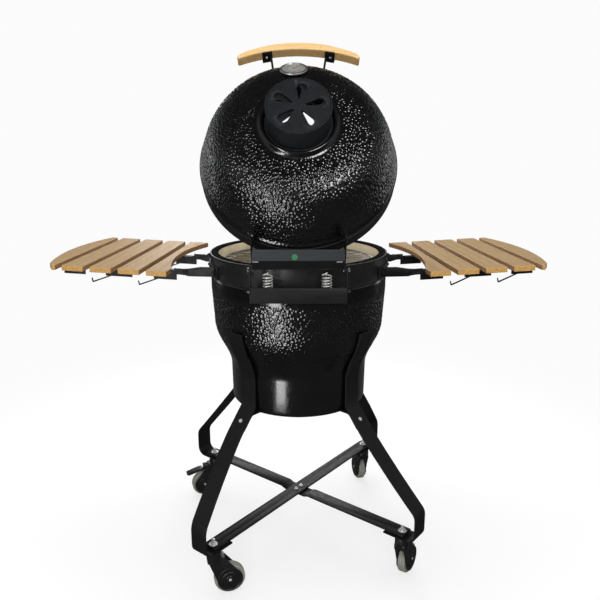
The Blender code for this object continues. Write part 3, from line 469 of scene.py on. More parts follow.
def mesh_from_curve(name, curve):
    temp = link(name + "_curve", curve)
    mesh = evaluated(temp)
    bpy.data.objects.remove(temp, do_unlink=True)
    return mesh


def rounded(obj, width, segments=2, angle=30):
    """Bevels the edges of obj and keeps its flat faces flat in shading."""
    obj.data.shade_smooth()
    mod = obj.modifiers.new("bevel", "BEVEL")
    mod.width = width
    mod.segments = segments
    mod.limit_method = "ANGLE"
    mod.angle_limit = math.radians(angle)
    mod.harden_normals = True
    mod.use_clamp_overlap = True
    mesh = evaluated(obj)
    obj.modifiers.clear()
    obj.data = mesh


def solid(name, bm, mat, at, body, slot, bevel=0, segments=2, angle=30, stands_for=None):
    obj = mesh_object(name, bm)
    if bevel:
        rounded(obj, bevel, segments, angle)
    return place(obj, mat, at, body, slot, stands_for)


def refine(node, mat, body, slot, bevel):
    """A cleaned copy of a CAD node with eased edges, standing for it."""
    bm = bmesh.new()
    bm.from_mesh(NODES[node].data)
    bmesh.ops.remove_doubles(bm, verts=bm.verts, dist=0.00001)
    bmesh.ops.dissolve_limit(bm, angle_limit=math.radians(0.8), verts=bm.verts, edges=bm.edges)
    return solid(node + "_fine", bm, mat, HERE, body, slot, bevel, angle=28, stands_for=node)


def cut(obj, bm):
    """Takes a bmesh solid out of obj, whose mesh is still in its own frame."""
    tool = mesh_object("cut_tool", bm)
    mod = obj.modifiers.new("cut", "BOOLEAN")
    mod.operation = "DIFFERENCE"
    mod.solver = "EXACT"
    mod.object = tool
    obj.data = evaluated(obj)
    obj.modifiers.clear()
    bpy.data.objects.remove(tool, do_unlink=True)


# ------------------------------------------------------------------ outlines
def fillet(points, radius, seg=4):
    """Rounds the corners of a closed outline; a point's third value is its own radius."""
    out = []
    count = len(points)
    for i, point in enumerate(points):
        before, here = Vector(points[i - 1][:2]), Vector(point[:2])
        after = Vector(points[(i + 1) % count][:2])
        own = point[2] if len(point) > 2 else radius
        back, ahead = before - here, after - here
        if back.length < 1e-7 or ahead.length < 1e-7:
            continue
        angle = back.angle(ahead)
        if own <= 0 or angle > math.radians(172):
            out.append(here)
            continue
        trim = min(own / math.tan(angle / 2), 0.45 * back.length, 0.45 * ahead.length)
        start = here + back.normalized() * trim
        end = here + ahead.normalized() * trim
        for k in range(seg + 1):
            s = k / seg
            out.append(start * (1 - s) ** 2 + here * 2 * s * (1 - s) + end * s * s)
    return out


def densify(points, step, closed=True):
    out = []
    for i in range(len(points) if closed else len(points) - 1):
        a, b = points[i], points[(i + 1) % len(points)]
        count = max(1, math.ceil((b - a).length / step))
        out += [a.lerp(b, k / count) for k in range(count)]
    if not closed:
        out.append(points[-1])
    return out


def turned(name, points, steps, mats, at, body, slot, closed=True, lift=None, first_rows=None,
           skip=None, stands_for=None):
    """A turned shell from a profile in (r, z).

    lift(i, r, z, angles) moves profile point i along its normal, on closed profiles only.
    Rows from first_rows on take the second material. skip(profile, angles) marks faces to
    leave out; the edges of the openings are bridged.
    """
    profile = np.array([(p[0], p[1]) for p in points])
    count = len(profile)
    angles = np.arange(steps) * TAU / steps
    radii = np.repeat(profile[:, :1], steps, 1)
    heights = np.repeat(profile[:, 1:], steps, 1)
    if lift is not None:
        following = np.roll(profile, -1, 0)
        tangent = following - np.roll(profile, 1, 0)
        tangent /= np.maximum(1e-9, np.linalg.norm(tangent, axis=1))[:, None]
        area = np.sum(profile[:, 0] * following[:, 1] - following[:, 0] * profile[:, 1])
        normal = np.stack([tangent[:, 1], -tangent[:, 0]], 1) * (1 if area > 0 else -1)
        for i, (r, z) in enumerate(profile):
            height = lift(i, r, z, angles)
            if height is not None:
                radii[i] += normal[i, 0] * height
                heights[i] += normal[i, 1] * height
    verts = np.stack([radii * np.cos(angles), radii * np.sin(angles), heights], -1)
    verts = verts.reshape(-1, 3)
    rows = count if closed else count - 1
    i0 = np.arange(rows)[:, None]
    j0 = np.arange(steps)[None, :]
    i1, j1 = (i0 + 1) % count, (j0 + 1) % steps
    quads = np.stack(np.broadcast_arrays(
        i0 * steps + j0, i0 * steps + j1, i1 * steps + j1, i1 * steps + j0), -1)
    keep = np.ones((rows, steps), bool) if skip is None else ~skip(profile, angles)
    faces = quads[keep].reshape(-1, 4)
    # Turn the faces outward if the signed volume comes out negative.
    corner = verts[faces]
    volume = sum(np.einsum("ij,ij->i", np.cross(corner[:, 0], corner[:, k]),
                           corner[:, k + 1]).sum() for k in (1, 2))
    if volume < 0:
        faces = faces[:, ::-1]
    mesh = bpy.data.meshes.new(name)
    mesh.from_pydata(verts.tolist(), [], faces.tolist())
    if first_rows is not None:
        material = np.zeros((rows, steps), np.int32)
        material[first_rows:] = 1
        mesh.polygons.foreach_set("material_index", material[keep].reshape(-1))
    on_axis = profile[:, 0].min() < 1e-6
    if skip is not None or on_axis:
        with editing(mesh) as bm:
            if on_axis:
                middle = [q for q in bm.verts if q.co.x ** 2 + q.co.y ** 2 < 1e-10]
                bmesh.ops.remove_doubles(bm, verts=middle, dist=1e-5)
            if skip is not None:
                loose = [q for q in bm.verts if not q.link_faces]
                bmesh.ops.delete(bm, geom=loose, context="VERTS")
                bmesh.ops.bridge_loops(bm, edges=[e for e in bm.edges if e.is_boundary])
                bmesh.ops.recalc_face_normals(bm, faces=bm.faces)
    mesh.shade_smooth()
    return place(link(name, mesh), mats, at, body, slot, stands_for)


# ------------------------------------------------------------------ bmesh solids
def aim(point, direction):
    """Frame at point with its z along direction."""
    turn = Vector((0, 0, 1)).rotation_difference(Vector(direction).normalized())
    return Matrix.Translation(point) @ turn.to_matrix().to_4x4()


def aim_outward(radius, angle, z):
    """Frame on a cylinder about Z, facing out."""
    c, s = math.cos(angle), math.sin(angle)
    return aim((radius * c, radius * s, z), (c, s, 0))


def add_box(bm, low, high, matrix=HERE):
    low, high = Vector(low), Vector(high)
    made = bmesh.ops.create_cube(bm, size=1.0)["verts"]
    bmesh.ops.scale(bm, vec=high - low, verts=made)
    bmesh.ops.translate(bm, vec=(low + high) / 2, verts=made)
    bmesh.ops.transform(bm, matrix=matrix, verts=made)


def add_rod(bm, start, end, radius, sides):
    axis = end - start
    made = bmesh.ops.create_cone(bm, cap_ends=True, segments=sides, radius1=radius,
                                 radius2=radius, depth=axis.length)["verts"]
    bmesh.ops.transform(bm, matrix=aim((start + end) / 2, axis), verts=made)


def add_prism(bm, outline, low, high, matrix=HERE):
    verts = [bm.verts.new((x, y, low)) for x, y in outline]
    grown = bmesh.ops.extrude_face_region(bm, geom=[bm.faces.new(verts)])["geom"]
    top = [g for g in grown if isinstance(g, bmesh.types.BMVert)]
    bmesh.ops.translate(bm, vec=(0, 0, high - low), verts=top)
    bmesh.ops.transform(bm, matrix=matrix, verts=verts + top)


def add_ring(bm, r, z, matrix, sides):
    """A ring of vertices, or a single one on the axis."""
    if r < 1e-7:
        return [bm.verts.new(matrix @ Vector((0, 0, z)))]
    angles = [TAU * k / sides for k in range(sides)]
    return [bm.verts.new(matrix @ Vector((r * math.cos(a), r * math.sin(a), z)))
            for a in angles]


def join_rings(bm, rings, sides):
    for a, b in zip(rings, rings[1:]):
        for k in range(sides):
            k1 = (k + 1) % sides
            quad = [a[k % len(a)], a[k1 % len(a)], b[k1 % len(b)], b[k % len(b)]]
            bm.faces.new(list(dict.fromkeys(quad)))


def add_turned(bm, profile, matrix, sides, closed=False):
    """A turned solid from a profile (r, z), closed or starting and ending on the axis."""
    rings = [add_ring(bm, r, z, matrix, sides) for r, z in profile]
    join_rings(bm, rings + rings[:1] if closed else rings, sides)


def add_hex(bm, at, radius, height, washer, stud):
    """Hex head on a washer, with a chamfered top and the stud's end through it."""
    base = 0.0012
    add_turned(bm, [(0, 0), (washer, 0), (washer, 0.0008), (washer - 0.0004, base), (0, base)],
               at, 28)
    rings = [add_ring(bm, r, z, at, 6) for r, z in (
        (radius * 0.94, base), (radius, base + 0.0003), (radius, base + height * 0.8),
        (radius * 0.88, base + height))]
    join_rings(bm, rings, 6)
    bm.faces.new(rings[0][::-1])
    bm.faces.new(rings[-1])
    tip = base + height + stud
    add_turned(bm, [(0, base), (0.0026, base), (0.0026, tip - 0.0005), (0.0021, tip), (0, tip)],
               at, 16)


def add_dome(bm, at, radius, height, sides=28):
    arc = [math.radians(a) for a in (8, 25, 45, 65, 80)]
    curve = [(radius * math.cos(a), height * math.sin(a)) for a in arc]
    add_turned(bm, [(0, 0), (radius, 0)] + curve + [(0, height)], at, sides)


def tube(name, strands, radius, mat, at, body, slot, resolution, cyclic=False, stands_for=None):
    """Round wires, one along each strand of points."""
    curve = bpy.data.curves.new(name, "CURVE")
    curve.dimensions = "3D"
    curve.bevel_depth = radius
    curve.bevel_resolution = resolution
    curve.use_fill_caps = True
    for strand in strands:
        spline = curve.splines.new("POLY")
        spline.points.add(len(strand) - 1)
        for point, co in zip(spline.points, strand):
            point.co = (*co, 1)
        spline.use_cyclic_u = cyclic
        spline.use_smooth = True
    mesh = mesh_from_curve(name, curve)
    with editing(mesh) as bm:
        bmesh.ops.remove_doubles(bm, verts=bm.verts, dist=0.000005)
        bmesh.ops.recalc_face_normals(bm, faces=bm.faces)
    mesh.shade_smooth()
    mesh.set_sharp_from_angle(angle=math.radians(50))
    mesh.name = name
    mesh.materials.clear()
    return place(link(name, mesh), mat, at, body, slot, stands_for)


# ------------------------------------------------------------------ pebbled glaze
CELL = 0.0086  # size of a lump
LUMP_H = 0.0019


def smooth(a, b, x):
    t = min(1.0, max(0.0, (x - a) / (b - a)))
    return t * t * (3 - 2 * t)


def pebble(x, y, z):
    """Height of the pebbled glaze at a point: rounded lumps parted by soft grooves."""
    point = Vector((x, y, z))
    near, second = noise.voronoi(point / CELL)[0][:2]
    groove = smooth(0.0, 0.38, second - near)
    lump = groove * (0.35 + 0.65 * max(0.0, 1 - (near / 0.75) ** 2))
    return LUMP_H * (lump - 0.86) + 0.00012 * noise.noise(point / (CELL * 0.5))


def pebbled(mask, offset, rows):
    """A lift of pebbles on the first rows, by mask(r, z); offset in x sets the pattern."""
    def lift(i, r, z, angles):
        amount = mask(r, z) if i < rows else 0
        if amount <= 0:
            return None
        return np.array([amount * pebble(r * math.cos(a) + offset, r * math.sin(a), z)
                         for a in angles])
    return lift


# ------------------------------------------------------------------ lid shell
RIM_R, CAVITY_R = 0.2655, 0.2437
SHELL_STEPS = 900
# The dome is a superellipse of revolution.
DOME_TOP, DOME_R, DOME_LOW, DOME_P, DOME_Q = 0.2125, 0.2677, 0.010, 1.51, 5.9


def dome_z(r):
    rise = (1 - min(1.0, r / DOME_R) ** DOME_Q) ** (1 / DOME_P)
    return DOME_LOW + (DOME_TOP - DOME_LOW) * rise


def lid_mask(r, z):
    if z >= 0.2135:
        return 0
    return smooth(0.053, 0.064, z) * smooth(0.104, 0.118, r)


# Profiles in (r, z): up the outside, over the lip of the top opening, down the inside.
outside = [(RIM_R, 0.0052), (RIM_R, 0.0458), (0.2671, 0.0472), (0.2673, 0.0505),
           (0.2665, 0.0535), (0.2650, 0.0563), (0.2633, 0.0588)]
outside += [(r, dome_z(r)) for r in np.linspace(0.2612, 0.235, 16)]
outside += [(r, dome_z(r)) for r in np.linspace(0.231, 0.108, 40)]
outside += [(0.104, 0.2137), (0.1005, 0.2170), (0.0975, 0.2205), (0.0952, 0.2222),
            (0.0915, 0.2222), (0.0897, 0.2200), (0.0888, 0.2110), (0.0886, 0.2083)]
inside = [(0.064, 0.2082), (0.064, 0.188), (0.10, 0.1875), (0.13, 0.1855), (0.155, 0.180),
          (0.176, 0.171), (0.194, 0.157), (0.209, 0.140), (0.2215, 0.116), (0.231, 0.088),
          (0.2385, 0.055), (CAVITY_R, 0.018), (CAVITY_R, 0.0052)]
outside = densify([Vector(p) for p in outside], 0.0020, closed=False)
inside = densify([Vector(p) for p in inside], 0.006, closed=False)
turned("lid_shell_glazed", outside + inside, SHELL_STEPS, [GLAZE, CERAMIC], LID, "lid", "glaze",
       lift=pebbled(lid_mask, 0.0, len(outside)), first_rows=len(outside),
       stands_for="lid_shell")

# ------------------------------------------------------------------ bowl shell
BODY_R, BELLY_R, WAIST_R, BASE_R = 0.268, 0.261, 0.212, 0.210
BOWL_H, WALL, BOWL_FLOOR = 0.463, 0.026, -0.445
BASE_TOP = -0.455  # above the rounded foot of the bowl


def bowl_radius(z):
    if z > -0.108:
        return BODY_R
    if z > -0.21:
        return BODY_R + (BELLY_R - BODY_R) * (z + 0.108) / -0.102
    if z > -0.355:
        t = (-0.21 - z) / 0.145
        return BELLY_R - (BELLY_R - WAIST_R) * (1 - math.cos(math.pi * t)) / 2
    return WAIST_R + (BASE_R - WAIST_R) * (z + 0.355) / (-BOWL_H + 0.355)


def bowl_mask(r, z):
    return smooth(-0.108, -0.122, z) * smooth(-0.325, -0.285, z)


def draft_gap(profile, angles):
    """Faces of the draft opening, low in the front of the wall."""
    middle = (profile + np.roll(profile, -1, 0)) / 2
    row = (middle[:, 1] > -0.4361) & (middle[:, 1] < -0.3839) & (middle[:, 0] > 0.17)
    face_angle = angles + math.pi / len(angles)
    off_front = np.abs((face_angle - FRONT + math.pi) % TAU - math.pi)
    return row[:, None] & (off_front < math.radians(10))[None, :]


# Profiles in (r, z): down the outside to the axis, then out and up the inside.
outside = [(RIM_R, -0.0045), (RIM_R, -0.066), (0.2668, -0.0682), (BODY_R, -0.0705)]
outside += [(bowl_radius(z), z) for z in np.linspace(-0.074, -0.380, 150)]
outside += [(bowl_radius(z), z) for z in (-0.384, -0.397, -0.410, -0.423, -0.436, -0.446,
                                          BASE_TOP)]
outside += [(BASE_R - 0.0006, -0.4590), (BASE_R - 0.0028, -0.4620), (BASE_R - 0.006, -BOWL_H),
            (0.12, -BOWL_H), (0.0, -BOWL_H)]
inner_base_r = bowl_radius(BASE_TOP) - WALL
inside = [(0.0, BOWL_FLOOR), (0.12, BOWL_FLOOR), (inner_base_r, BOWL_FLOOR),
          (inner_base_r, -0.436), (0.1850, -0.423), (0.1850, -0.410), (0.1851, -0.397),
          (0.1852, -0.384), (bowl_radius(-0.355) - WALL, -0.355)]
inside += [(bowl_radius(z) - WALL, z) for z in np.linspace(-0.34, -0.12, 24)]
inside += [(CAVITY_R, -0.09), (CAVITY_R, -0.06), (CAVITY_R, -0.0045)]
turned("bowl_shell_glazed", [Vector(p) for p in outside + inside], SHELL_STEPS,
       [GLAZE_BOWL, CERAMIC], RIM, "root", "glaze", lift=pebbled(bowl_mask, 5.0, len(outside)),
       first_rows=len(outside), skip=draft_gap, stands_for="bowl_shell")

# ------------------------------------------------------------------ bands and gaskets
BAND_R = 0.2695
GASKET_R, GASKET_IN_R = 0.2646, 0.2446


def make_band(name, low, high, at, body, stands_for):
    """A sheet band with a raised bead along each edge."""
    r = BAND_R
    profile = [
        (r - 0.0006, high, 0.0003), (r, high - 0.0008, 0.0005), (r, high - 0.0038, 0.0008),
        (r - 0.0008, high - 0.0052, 0.0008), (r - 0.0008, low + 0.0052, 0.0008),
        (r, low + 0.0038, 0.0008), (r, low + 0.0008, 0.0005), (r - 0.0006, low, 0.0003),
        (r - 0.003, low, 0.0004), (r - 0.003, high, 0.0004)]
    turned(name, densify(fillet(profile, 0.0005, 3), 0.004), 360, BAND, at, body,
           "black_steel", stands_for=stands_for)


def felt_ripple(i, r, z, angles):
    return np.array([0.00022 * noise.noise(Vector((r * math.cos(a), r * math.sin(a), z)) * 260)
                     for a in angles])


def make_gasket(name, low, high, at, body, stands_for):
    profile = [(GASKET_R, high), (GASKET_R, low), (GASKET_IN_R, low), (GASKET_IN_R, high)]
    turned(name, densify(fillet(profile, 0.0012), 0.0016), 540, FELT, at, body, "felt",
           lift=felt_ripple, stands_for=stands_for)


make_band("base_band_rolled", -0.066, -0.0006, RIM, "root", "base_band")
make_band("lid_band_rolled", 0.0012, 0.045, LID, "lid", "lid_band")
make_gasket("base_gasket_felt", -0.0042, 0.0, RIM, "root", "base_gasket")
make_gasket("lid_gasket_felt", 0.0010, 0.0048, LID, "lid", "lid_gasket")

# ------------------------------------------------------------------ fire ring and fire box
fire_ring = [(0.2345, -0.034), (0.2345, -0.10), (0.222, -0.2144), (0.202, -0.2144),
             (0.2145, -0.10), (0.2145, -0.034)]
turned("fire_ring_cast", densify(fillet(fire_ring, 0.004, 4), 0.012), 144, CERAMIC, RIM, "root",
       "ceramic", stands_for="fire_ring")
fire_box = [(0.222, -0.215), (0.206, -0.262), (0.186, -0.305), (0.176, -0.345),
            (0.176, -0.4445), (0.156, -0.4445), (0.156, -0.385), (0.076, -0.372),
            (0.076, -0.354), (0.150, -0.352), (0.166, -0.305), (0.186, -0.262),
            (0.200, -0.215)]
bm = bmesh.new()
add_turned(bm, fillet(fire_box, 0.003, 3), HERE, 96, closed=True)
fire = mesh_object("fire_box_cast", bm)
# An opening behind the draft door and six slanted holes round the wall.
bm = bmesh.new()
add_box(bm, (-0.05, -0.20, -0.4500), (0.05, -0.10, -0.392))
cut(fire, bm)
for k in range(6):
    turn = Matrix.Rotation(TAU * (k + 0.5) / 6, 4, "Z")
    bm = bmesh.new()
    add_rod(bm, turn @ Vector((0.130, 0, -0.375)), turn @ Vector((0.230, 0, -0.300)), 0.0075, 20)
    cut(fire, bm)
fire.data.shade_smooth()
fire.data.set_sharp_from_angle(angle=math.radians(40))
place(fire, CERAMIC, RIM, "root", "ceramic", "fire_box")

# ------------------------------------------------------------------ grates
GRID_R, GRID_RING_R, GRID_PITCH = 0.2290, 0.2300, 0.031
RING_STEPS = 120


def half_chord(offset):
    return math.sqrt(GRID_R ** 2 - offset * offset)


refine("charcoal_grate", IRON, "root", "cast_iron", 0.0008)
strands = []
for i in range(-7, 8):
    y = i * GRID_PITCH
    strands.append([(-half_chord(y), y, -0.0280), (half_chord(y), y, -0.0280)])
for x in (-0.098, 0.098):
    strands.append([(x, -half_chord(x), -0.0312), (x, half_chord(x), -0.0312)])
tube("cooking_grid_rods", strands, 0.0022, STEEL, RIM, "cooking_grid", "stainless",
     resolution=3, stands_for="cooking_grid")
ring = [(GRID_RING_R * math.cos(TAU * k / RING_STEPS), GRID_RING_R * math.sin(TAU * k / RING_STEPS),
         -0.0290) for k in range(RING_STEPS)]
tube("cooking_grid_ring", [ring], 0.0034, STEEL, RIM, "cooking_grid", "stainless",
     resolution=4, cyclic=True)

# ------------------------------------------------------------------ draft door
refine("draft_door_frame", STEEL, "root", "stainless", 0.0003)
refine("draft_door", STEEL, "draft_door", "stainless", 0.0003)
refine("ash_screen", STEEL, "ash_screen", "stainless", 0.0002)
bm = bmesh.new()
for degrees in (-27, -13.5, 13.5, 27):
    for z in (-0.444, -0.376):
        add_dome(bm, aim_outward(0.2140, FRONT + math.radians(degrees), z), 0.0028, 0.0003, 20)
solid("draft_frame_rivets", bm, STEEL, RIM, "root", "stainless")
knob = [(0, -0.0005), (0.0085, -0.0005), (0.0100, 0.001), (0.0105, 0.004), (0.0098, 0.0068),
        (0.0075, 0.0078), (0, 0.0082)]
bm = bmesh.new()
add_turned(bm, knob, aim((0, -0.2245, -0.410), (0, -1, 0)), 40)
solid("draft_door_knob", bm, STEEL, RIM, "draft_door", "stainless")

# ------------------------------------------------------------------ thermometer
# The gauge's frame sits on the dome in front, its z out of the dial.
GAUGE_R = 0.174
GAUGE = LID @ spin(4.05) @ shift(0, -GAUGE_R, dome_z(GAUGE_R) - 0.0045) @ spin(26.0, "X")
TICK_STEPS, MAJOR_EVERY = 40, 5
NUMBER_R, NUMBER_SIZE = 0.0192, 0.0056
NUMBERS = range(0, 401, 50)
on_gauge = (GAUGE, "lid", "stainless")


def dial_z(r):
    """Height of the domed dial face."""
    return 0.0086 - 0.0007 * (r / 0.029) ** 2 + 0.00002


def dial_angle(k, steps):
    return math.radians(225 - 270 * k / steps)


bezel = [(0.0302, 0.0084), (0.0312, 0.0096, 0.0006), (0.0340, 0.0096), (0.0358, 0.0086),
         (0.0364, 0.0066), (0.0362, 0.0046), (0.0335, 0.0035), (0.0296, 0.0035)]
turned("thermometer_bezel", fillet(bezel, 0.0005, 3), 128, CHROME, *on_gauge,
       stands_for="thermometer")
dial = [(0.0, 0.0086), (0.006, 0.00857), (0.012, 0.00848), (0.018, 0.00834),
        (0.024, 0.00813), (0.0292, 0.0079), (0.0303, 0.0077), (0.0303, 0.0045),
        (0.015, 0.0045), (0.0, 0.0045)]
turned("thermometer_dial", dial, 96, DIAL, *on_gauge, closed=False)
stem = [(0.0, 0.0046), (0.0048, 0.0046), (0.0050, 0.0035), (0.0050, -0.030),
        (0.0028, -0.034), (0.0024, -0.075), (0.0, -0.079)]
turned("thermometer_stem", stem, 32, STEEL, *on_gauge, closed=False)

bm = bmesh.new()
for k in range(TICK_STEPS + 1):
    start, half = (0.0232, 0.00045) if k % MAJOR_EVERY == 0 else (0.0252, 0.00022)
    turn = (shift(0, 0, dial_z(0.026) - 0.0001)
            @ Matrix.Rotation(dial_angle(k, TICK_STEPS), 4, "Z"))
    add_box(bm, (start, -half, 0), (0.0272, half, 0.00022), turn)
solid("thermometer_ticks", bm, INK, *on_gauge)

needle = [(-0.006, -0.0009), (0.022, -0.00025), (0.022, 0.00025), (-0.006, 0.0009)]
bm = bmesh.new()
add_prism(bm, needle, 0.00875, 0.00905, spin(216))
add_dome(bm, shift(0, 0, 0.0086), 0.0024, 0.0009, 24)
solid("thermometer_needle", bm, RED, *on_gauge)

bm = bmesh.new()
for k, number in enumerate(NUMBERS):
    curve = bpy.data.curves.new("number", "FONT")
    curve.body = str(number)
    curve.size = NUMBER_SIZE
    curve.align_x = "CENTER"
    curve.align_y = "CENTER"
    curve.extrude = 0.00008
    curve.resolution_u = 3
    mesh = mesh_from_curve("number", curve)
    angle = dial_angle(k, len(NUMBERS) - 1)
    mesh.transform(shift(NUMBER_R * math.cos(angle), NUMBER_R * math.sin(angle),
                         dial_z(NUMBER_R) + 0.0001))
    bm.from_mesh(mesh)
bmesh.ops.remove_doubles(bm, verts=bm.verts, dist=0.000001)
place(mesh_object("thermometer_numbers", bm, outward=False), INK, *on_gauge)

# ------------------------------------------------------------------ handle
# The bar's outer and inner faces are arcs; OUT_Y and IN_Y are where they cross x = 0.
OUT_Y, OUT_R, IN_Y, IN_R = -0.3274, 0.350, -0.3028, 0.420
HALF = 0.1716
BRACKET_X = 0.0875


def face_y(x, middle_y, radius):
    return middle_y + radius - math.sqrt(radius ** 2 - x ** 2)


right = [(x, face_y(x, OUT_Y, OUT_R)) for x in np.linspace(0, 0.147, 36)]
start = Vector(right[-1])
corner = Vector((HALF + 0.001, face_y(HALF, OUT_Y, OUT_R) - 0.001))
end = Vector((HALF - 0.0035, face_y(HALF - 0.004, IN_Y, IN_R) - 0.004))
right += [tuple(start * (1 - t) ** 2 + corner * 2 * t * (1 - t) + end * t * t)
          for t in np.linspace(0, 1, 14)[1:]]
right += [(x, face_y(x, IN_Y, IN_R)) for x in np.linspace(0.1655, 0, 36)]
bm = bmesh.new()
add_prism(bm, right + [(-x, y) for x, y in reversed(right) if x > 1e-6], 0.1091, 0.1389)
solid("handle_bamboo", bm, BAMBOO_HANDLE, LID, "lid", "bamboo", 0.0026, 4, 40, "handle")
for word, side in SIDES:
    refine("handle_bracket_" + word, POWDER, "lid", "black_steel", 0.0007)
bm = bmesh.new()
for word, side in SIDES:
    lean = Matrix.Rotation(side * math.asin(BRACKET_X / IN_R), 4, "Z")
    seat = shift(side * BRACKET_X, face_y(BRACKET_X, IN_Y, IN_R), 0) @ lean
    add_dome(bm, seat @ aim((0.002 * side, 0.0062, 0.1225), (0, 1, 0)), 0.0038, 0.0016)
    for z in (0.1105, 0.1225):
        foot = spin(side * 15.95) @ aim((0, -0.2570, z), (0, -1, 0))
        add_dome(bm, foot, 0.0021, 0.0011, 20)
solid("handle_screws", bm, ZINC, LID, "lid", "zinc")

# ------------------------------------------------------------------ top vent
PETAL_NEAR, PETAL_FAR, PETAL_R = 0.017, 0.066, 0.0135


def petals(degrees, low, high):
    """Five drop-shaped prisms round the axis, turned by degrees."""
    mid = PETAL_FAR - PETAL_R
    drop = [(PETAL_NEAR, -0.002), (PETAL_NEAR - 0.0012, 0.0), (PETAL_NEAR, 0.002)]
    for i in range(25):
        a = math.radians(100 - 200 * i / 24)
        drop.append((mid + PETAL_R * math.cos(a), PETAL_R * math.sin(a)))
    bm = bmesh.new()
    for n in range(5):
        angle = math.radians(-99) + TAU * n / 5 + math.radians(degrees)
        c, s = math.cos(angle), math.sin(angle)
        add_prism(bm, [(x * c - y * s, x * s + y * c) for x, y in drop], low, high)
    return bm


def cast_vent(name, profile, openings, body, node):
    """Turned iron casting with petal openings; the profile starts and ends on the axis."""
    ends = (0, len(profile) - 1)
    profile = [(*p, 0) if i in ends else p for i, p in enumerate(profile)]
    bm = bmesh.new()
    add_turned(bm, fillet(profile, 0.0008), HERE, 144)
    obj = mesh_object(name, bm)
    cut(obj, openings)
    with editing(obj.data) as bm:
        bmesh.ops.remove_doubles(bm, verts=bm.verts, dist=0.000005)
    rounded(obj, 0.0008, angle=50)
    place(obj, IRON, LID, body, "cast_iron", node)


vent_base = [(0.0, 0.2705), (0.0765, 0.2705), (0.0770, 0.2125, 0.002), (0.0860, 0.2125),
             (0.0860, 0.2086), (0.0600, 0.2086), (0.0600, 0.192), (0.0560, 0.192),
             (0.0560, 0.2125), (0.0730, 0.2145), (0.0730, 0.2660), (0.0, 0.2660)]
cast_vent("vent_base_cast", vent_base, petals(15, 0.262, 0.2725), "lid", "vent_base")
vent_cap = [(0.0, 0.2796), (0.0762, 0.2796, 0.0004), (0.0770, 0.2787, 0.0003),
            (0.0784, 0.2787, 0.0003), (0.0791, 0.2799, 0.0004), (0.0815, 0.2800, 0.0022),
            (0.0815, 0.2150, 0.0012), (0.0785, 0.2150), (0.0785, 0.2745, 0.002),
            (0.0, 0.2745)]
cast_vent("vent_cap_cast", vent_cap, petals(0, 0.272, 0.284), "vent_cap", "vent_cap")
bm = bmesh.new()
add_dome(bm, shift(0, 0, 0.2795), 0.0062, 0.0004, 32)
solid("vent_cap_pivot", bm, IRON, LID, "vent_cap", "cast_iron")

# ------------------------------------------------------------------ hinge
COVER_HALF = 0.1195
# Outlines in (y, z), drawn out along x.
SHEET = Matrix(((0, 0, 1, 0), (1, 0, 0, 0), (0, 1, 0, 0), (0, 0, 0, 1)))
# Frame of the lower cover: y down its face, z out of it.
PANEL = Matrix(((1, 0, 0, 0), (0, 0.3143, 0.9493, 0.2966), (0, -0.9493, 0.3143, 0.0359),
                (0, 0, 0, 1)))
refine("hinge_lid_bracket", POWDER, "lid", "hinge_plate", 0.0007)
refine("hinge_base", POWDER, "root", "black_steel", 0.0007)
refine("hinge_pin_right", BOLT, "root", "zinc", 0.0005)
refine("hinge_pin_left", BOLT, "root", "zinc", 0.0005)
bm = bmesh.new()
for side in (-1, 1):
    add_hex(bm, aim((side * 0.1290, 0.2860, -0.0620), (side, 0, 0)),
            radius=0.0055, height=0.0062, washer=0.0078, stud=0.0034)
solid("hinge_base_bolts", bm, BOLT, RIM, "root", "zinc")
for name, mat, outline in (
        ("hinge_cover_upper", HINGE,
         [(0.2730, 0.0536), (0.2966, 0.0359), (0.2948, 0.0335), (0.2712, 0.0512)]),
        ("hinge_cover_lower", POWDER,
         [(0.2964, 0.0356), (0.3068, 0.0048), (0.3040, 0.0039), (0.2936, 0.0347)])):
    bm = bmesh.new()
    add_prism(bm, outline, -COVER_HALF, COVER_HALF, SHEET)
    solid(name, bm, mat, LID, "lid", "hinge_plate", 0.0006)
bm = bmesh.new()
for x0, x1 in ((0.1035, COVER_HALF - 0.0005), (-0.1130, -0.0985)):
    add_box(bm, (x0, 0.0022, -0.0004), (x1, 0.0052, 0.0006), PANEL)
solid("hinge_weld_tabs", bm, ZINC, LID, "lid", "zinc", 0.0002)
bm = bmesh.new()
add_turned(bm, [(0, 0), (0.0078, 0), (0.0078, 0.0003), (0, 0.00032)],
           aim((0.0098, 0.2890, 0.0417), (0, 0.6, 0.8)), 40)
solid("hinge_round_sticker", bm, GREEN, LID, "lid", "hinge_plate")

# ------------------------------------------------------------------ springs
SPRING_Y, SPRING_LOW, SPRING_HIGH = 0.2985, -0.0745, -0.0135
COIL_R, COIL_TURNS, COIL_STEPS = 0.0124, 8, 28


def spring_points(x):
    """Coil with its ends drawn in to the middle."""
    def draw_in(s, z, way):
        reach = COIL_R * (1 - s)
        return (x + reach * math.cos(0.9 * s), SPRING_Y + reach * math.sin(way * 0.9 * s), z)

    pulls = (0.2, 0.42, 0.65, 0.85, 1.0)
    head = [draw_in(s, SPRING_LOW - 0.0042 * s, -1) for s in pulls[::-1]]
    tail = [draw_in(s, SPRING_HIGH + 0.0055 * s, 1) for s in pulls]
    count = COIL_TURNS * COIL_STEPS
    coil = []
    for i in range(count + 1):
        t = i / count
        a = TAU * COIL_TURNS * t
        coil.append((x + COIL_R * math.cos(a), SPRING_Y + COIL_R * math.sin(a),
                     SPRING_LOW + (SPRING_HIGH - SPRING_LOW) * t))
    first, last = head[0], tail[-1]
    return ([(first[0], first[1], first[2] - 0.0015)] + head + coil + tail
            + [(last[0], last[1], last[2] + 0.0012)])


for word, x in (("right", 0.0810), ("left", -0.0747)):
    tube(f"spring_{word}_coil", [spring_points(x)], 0.00172, ZINC, RIM, "root", "zinc",
         resolution=5, stands_for="spring_" + word)

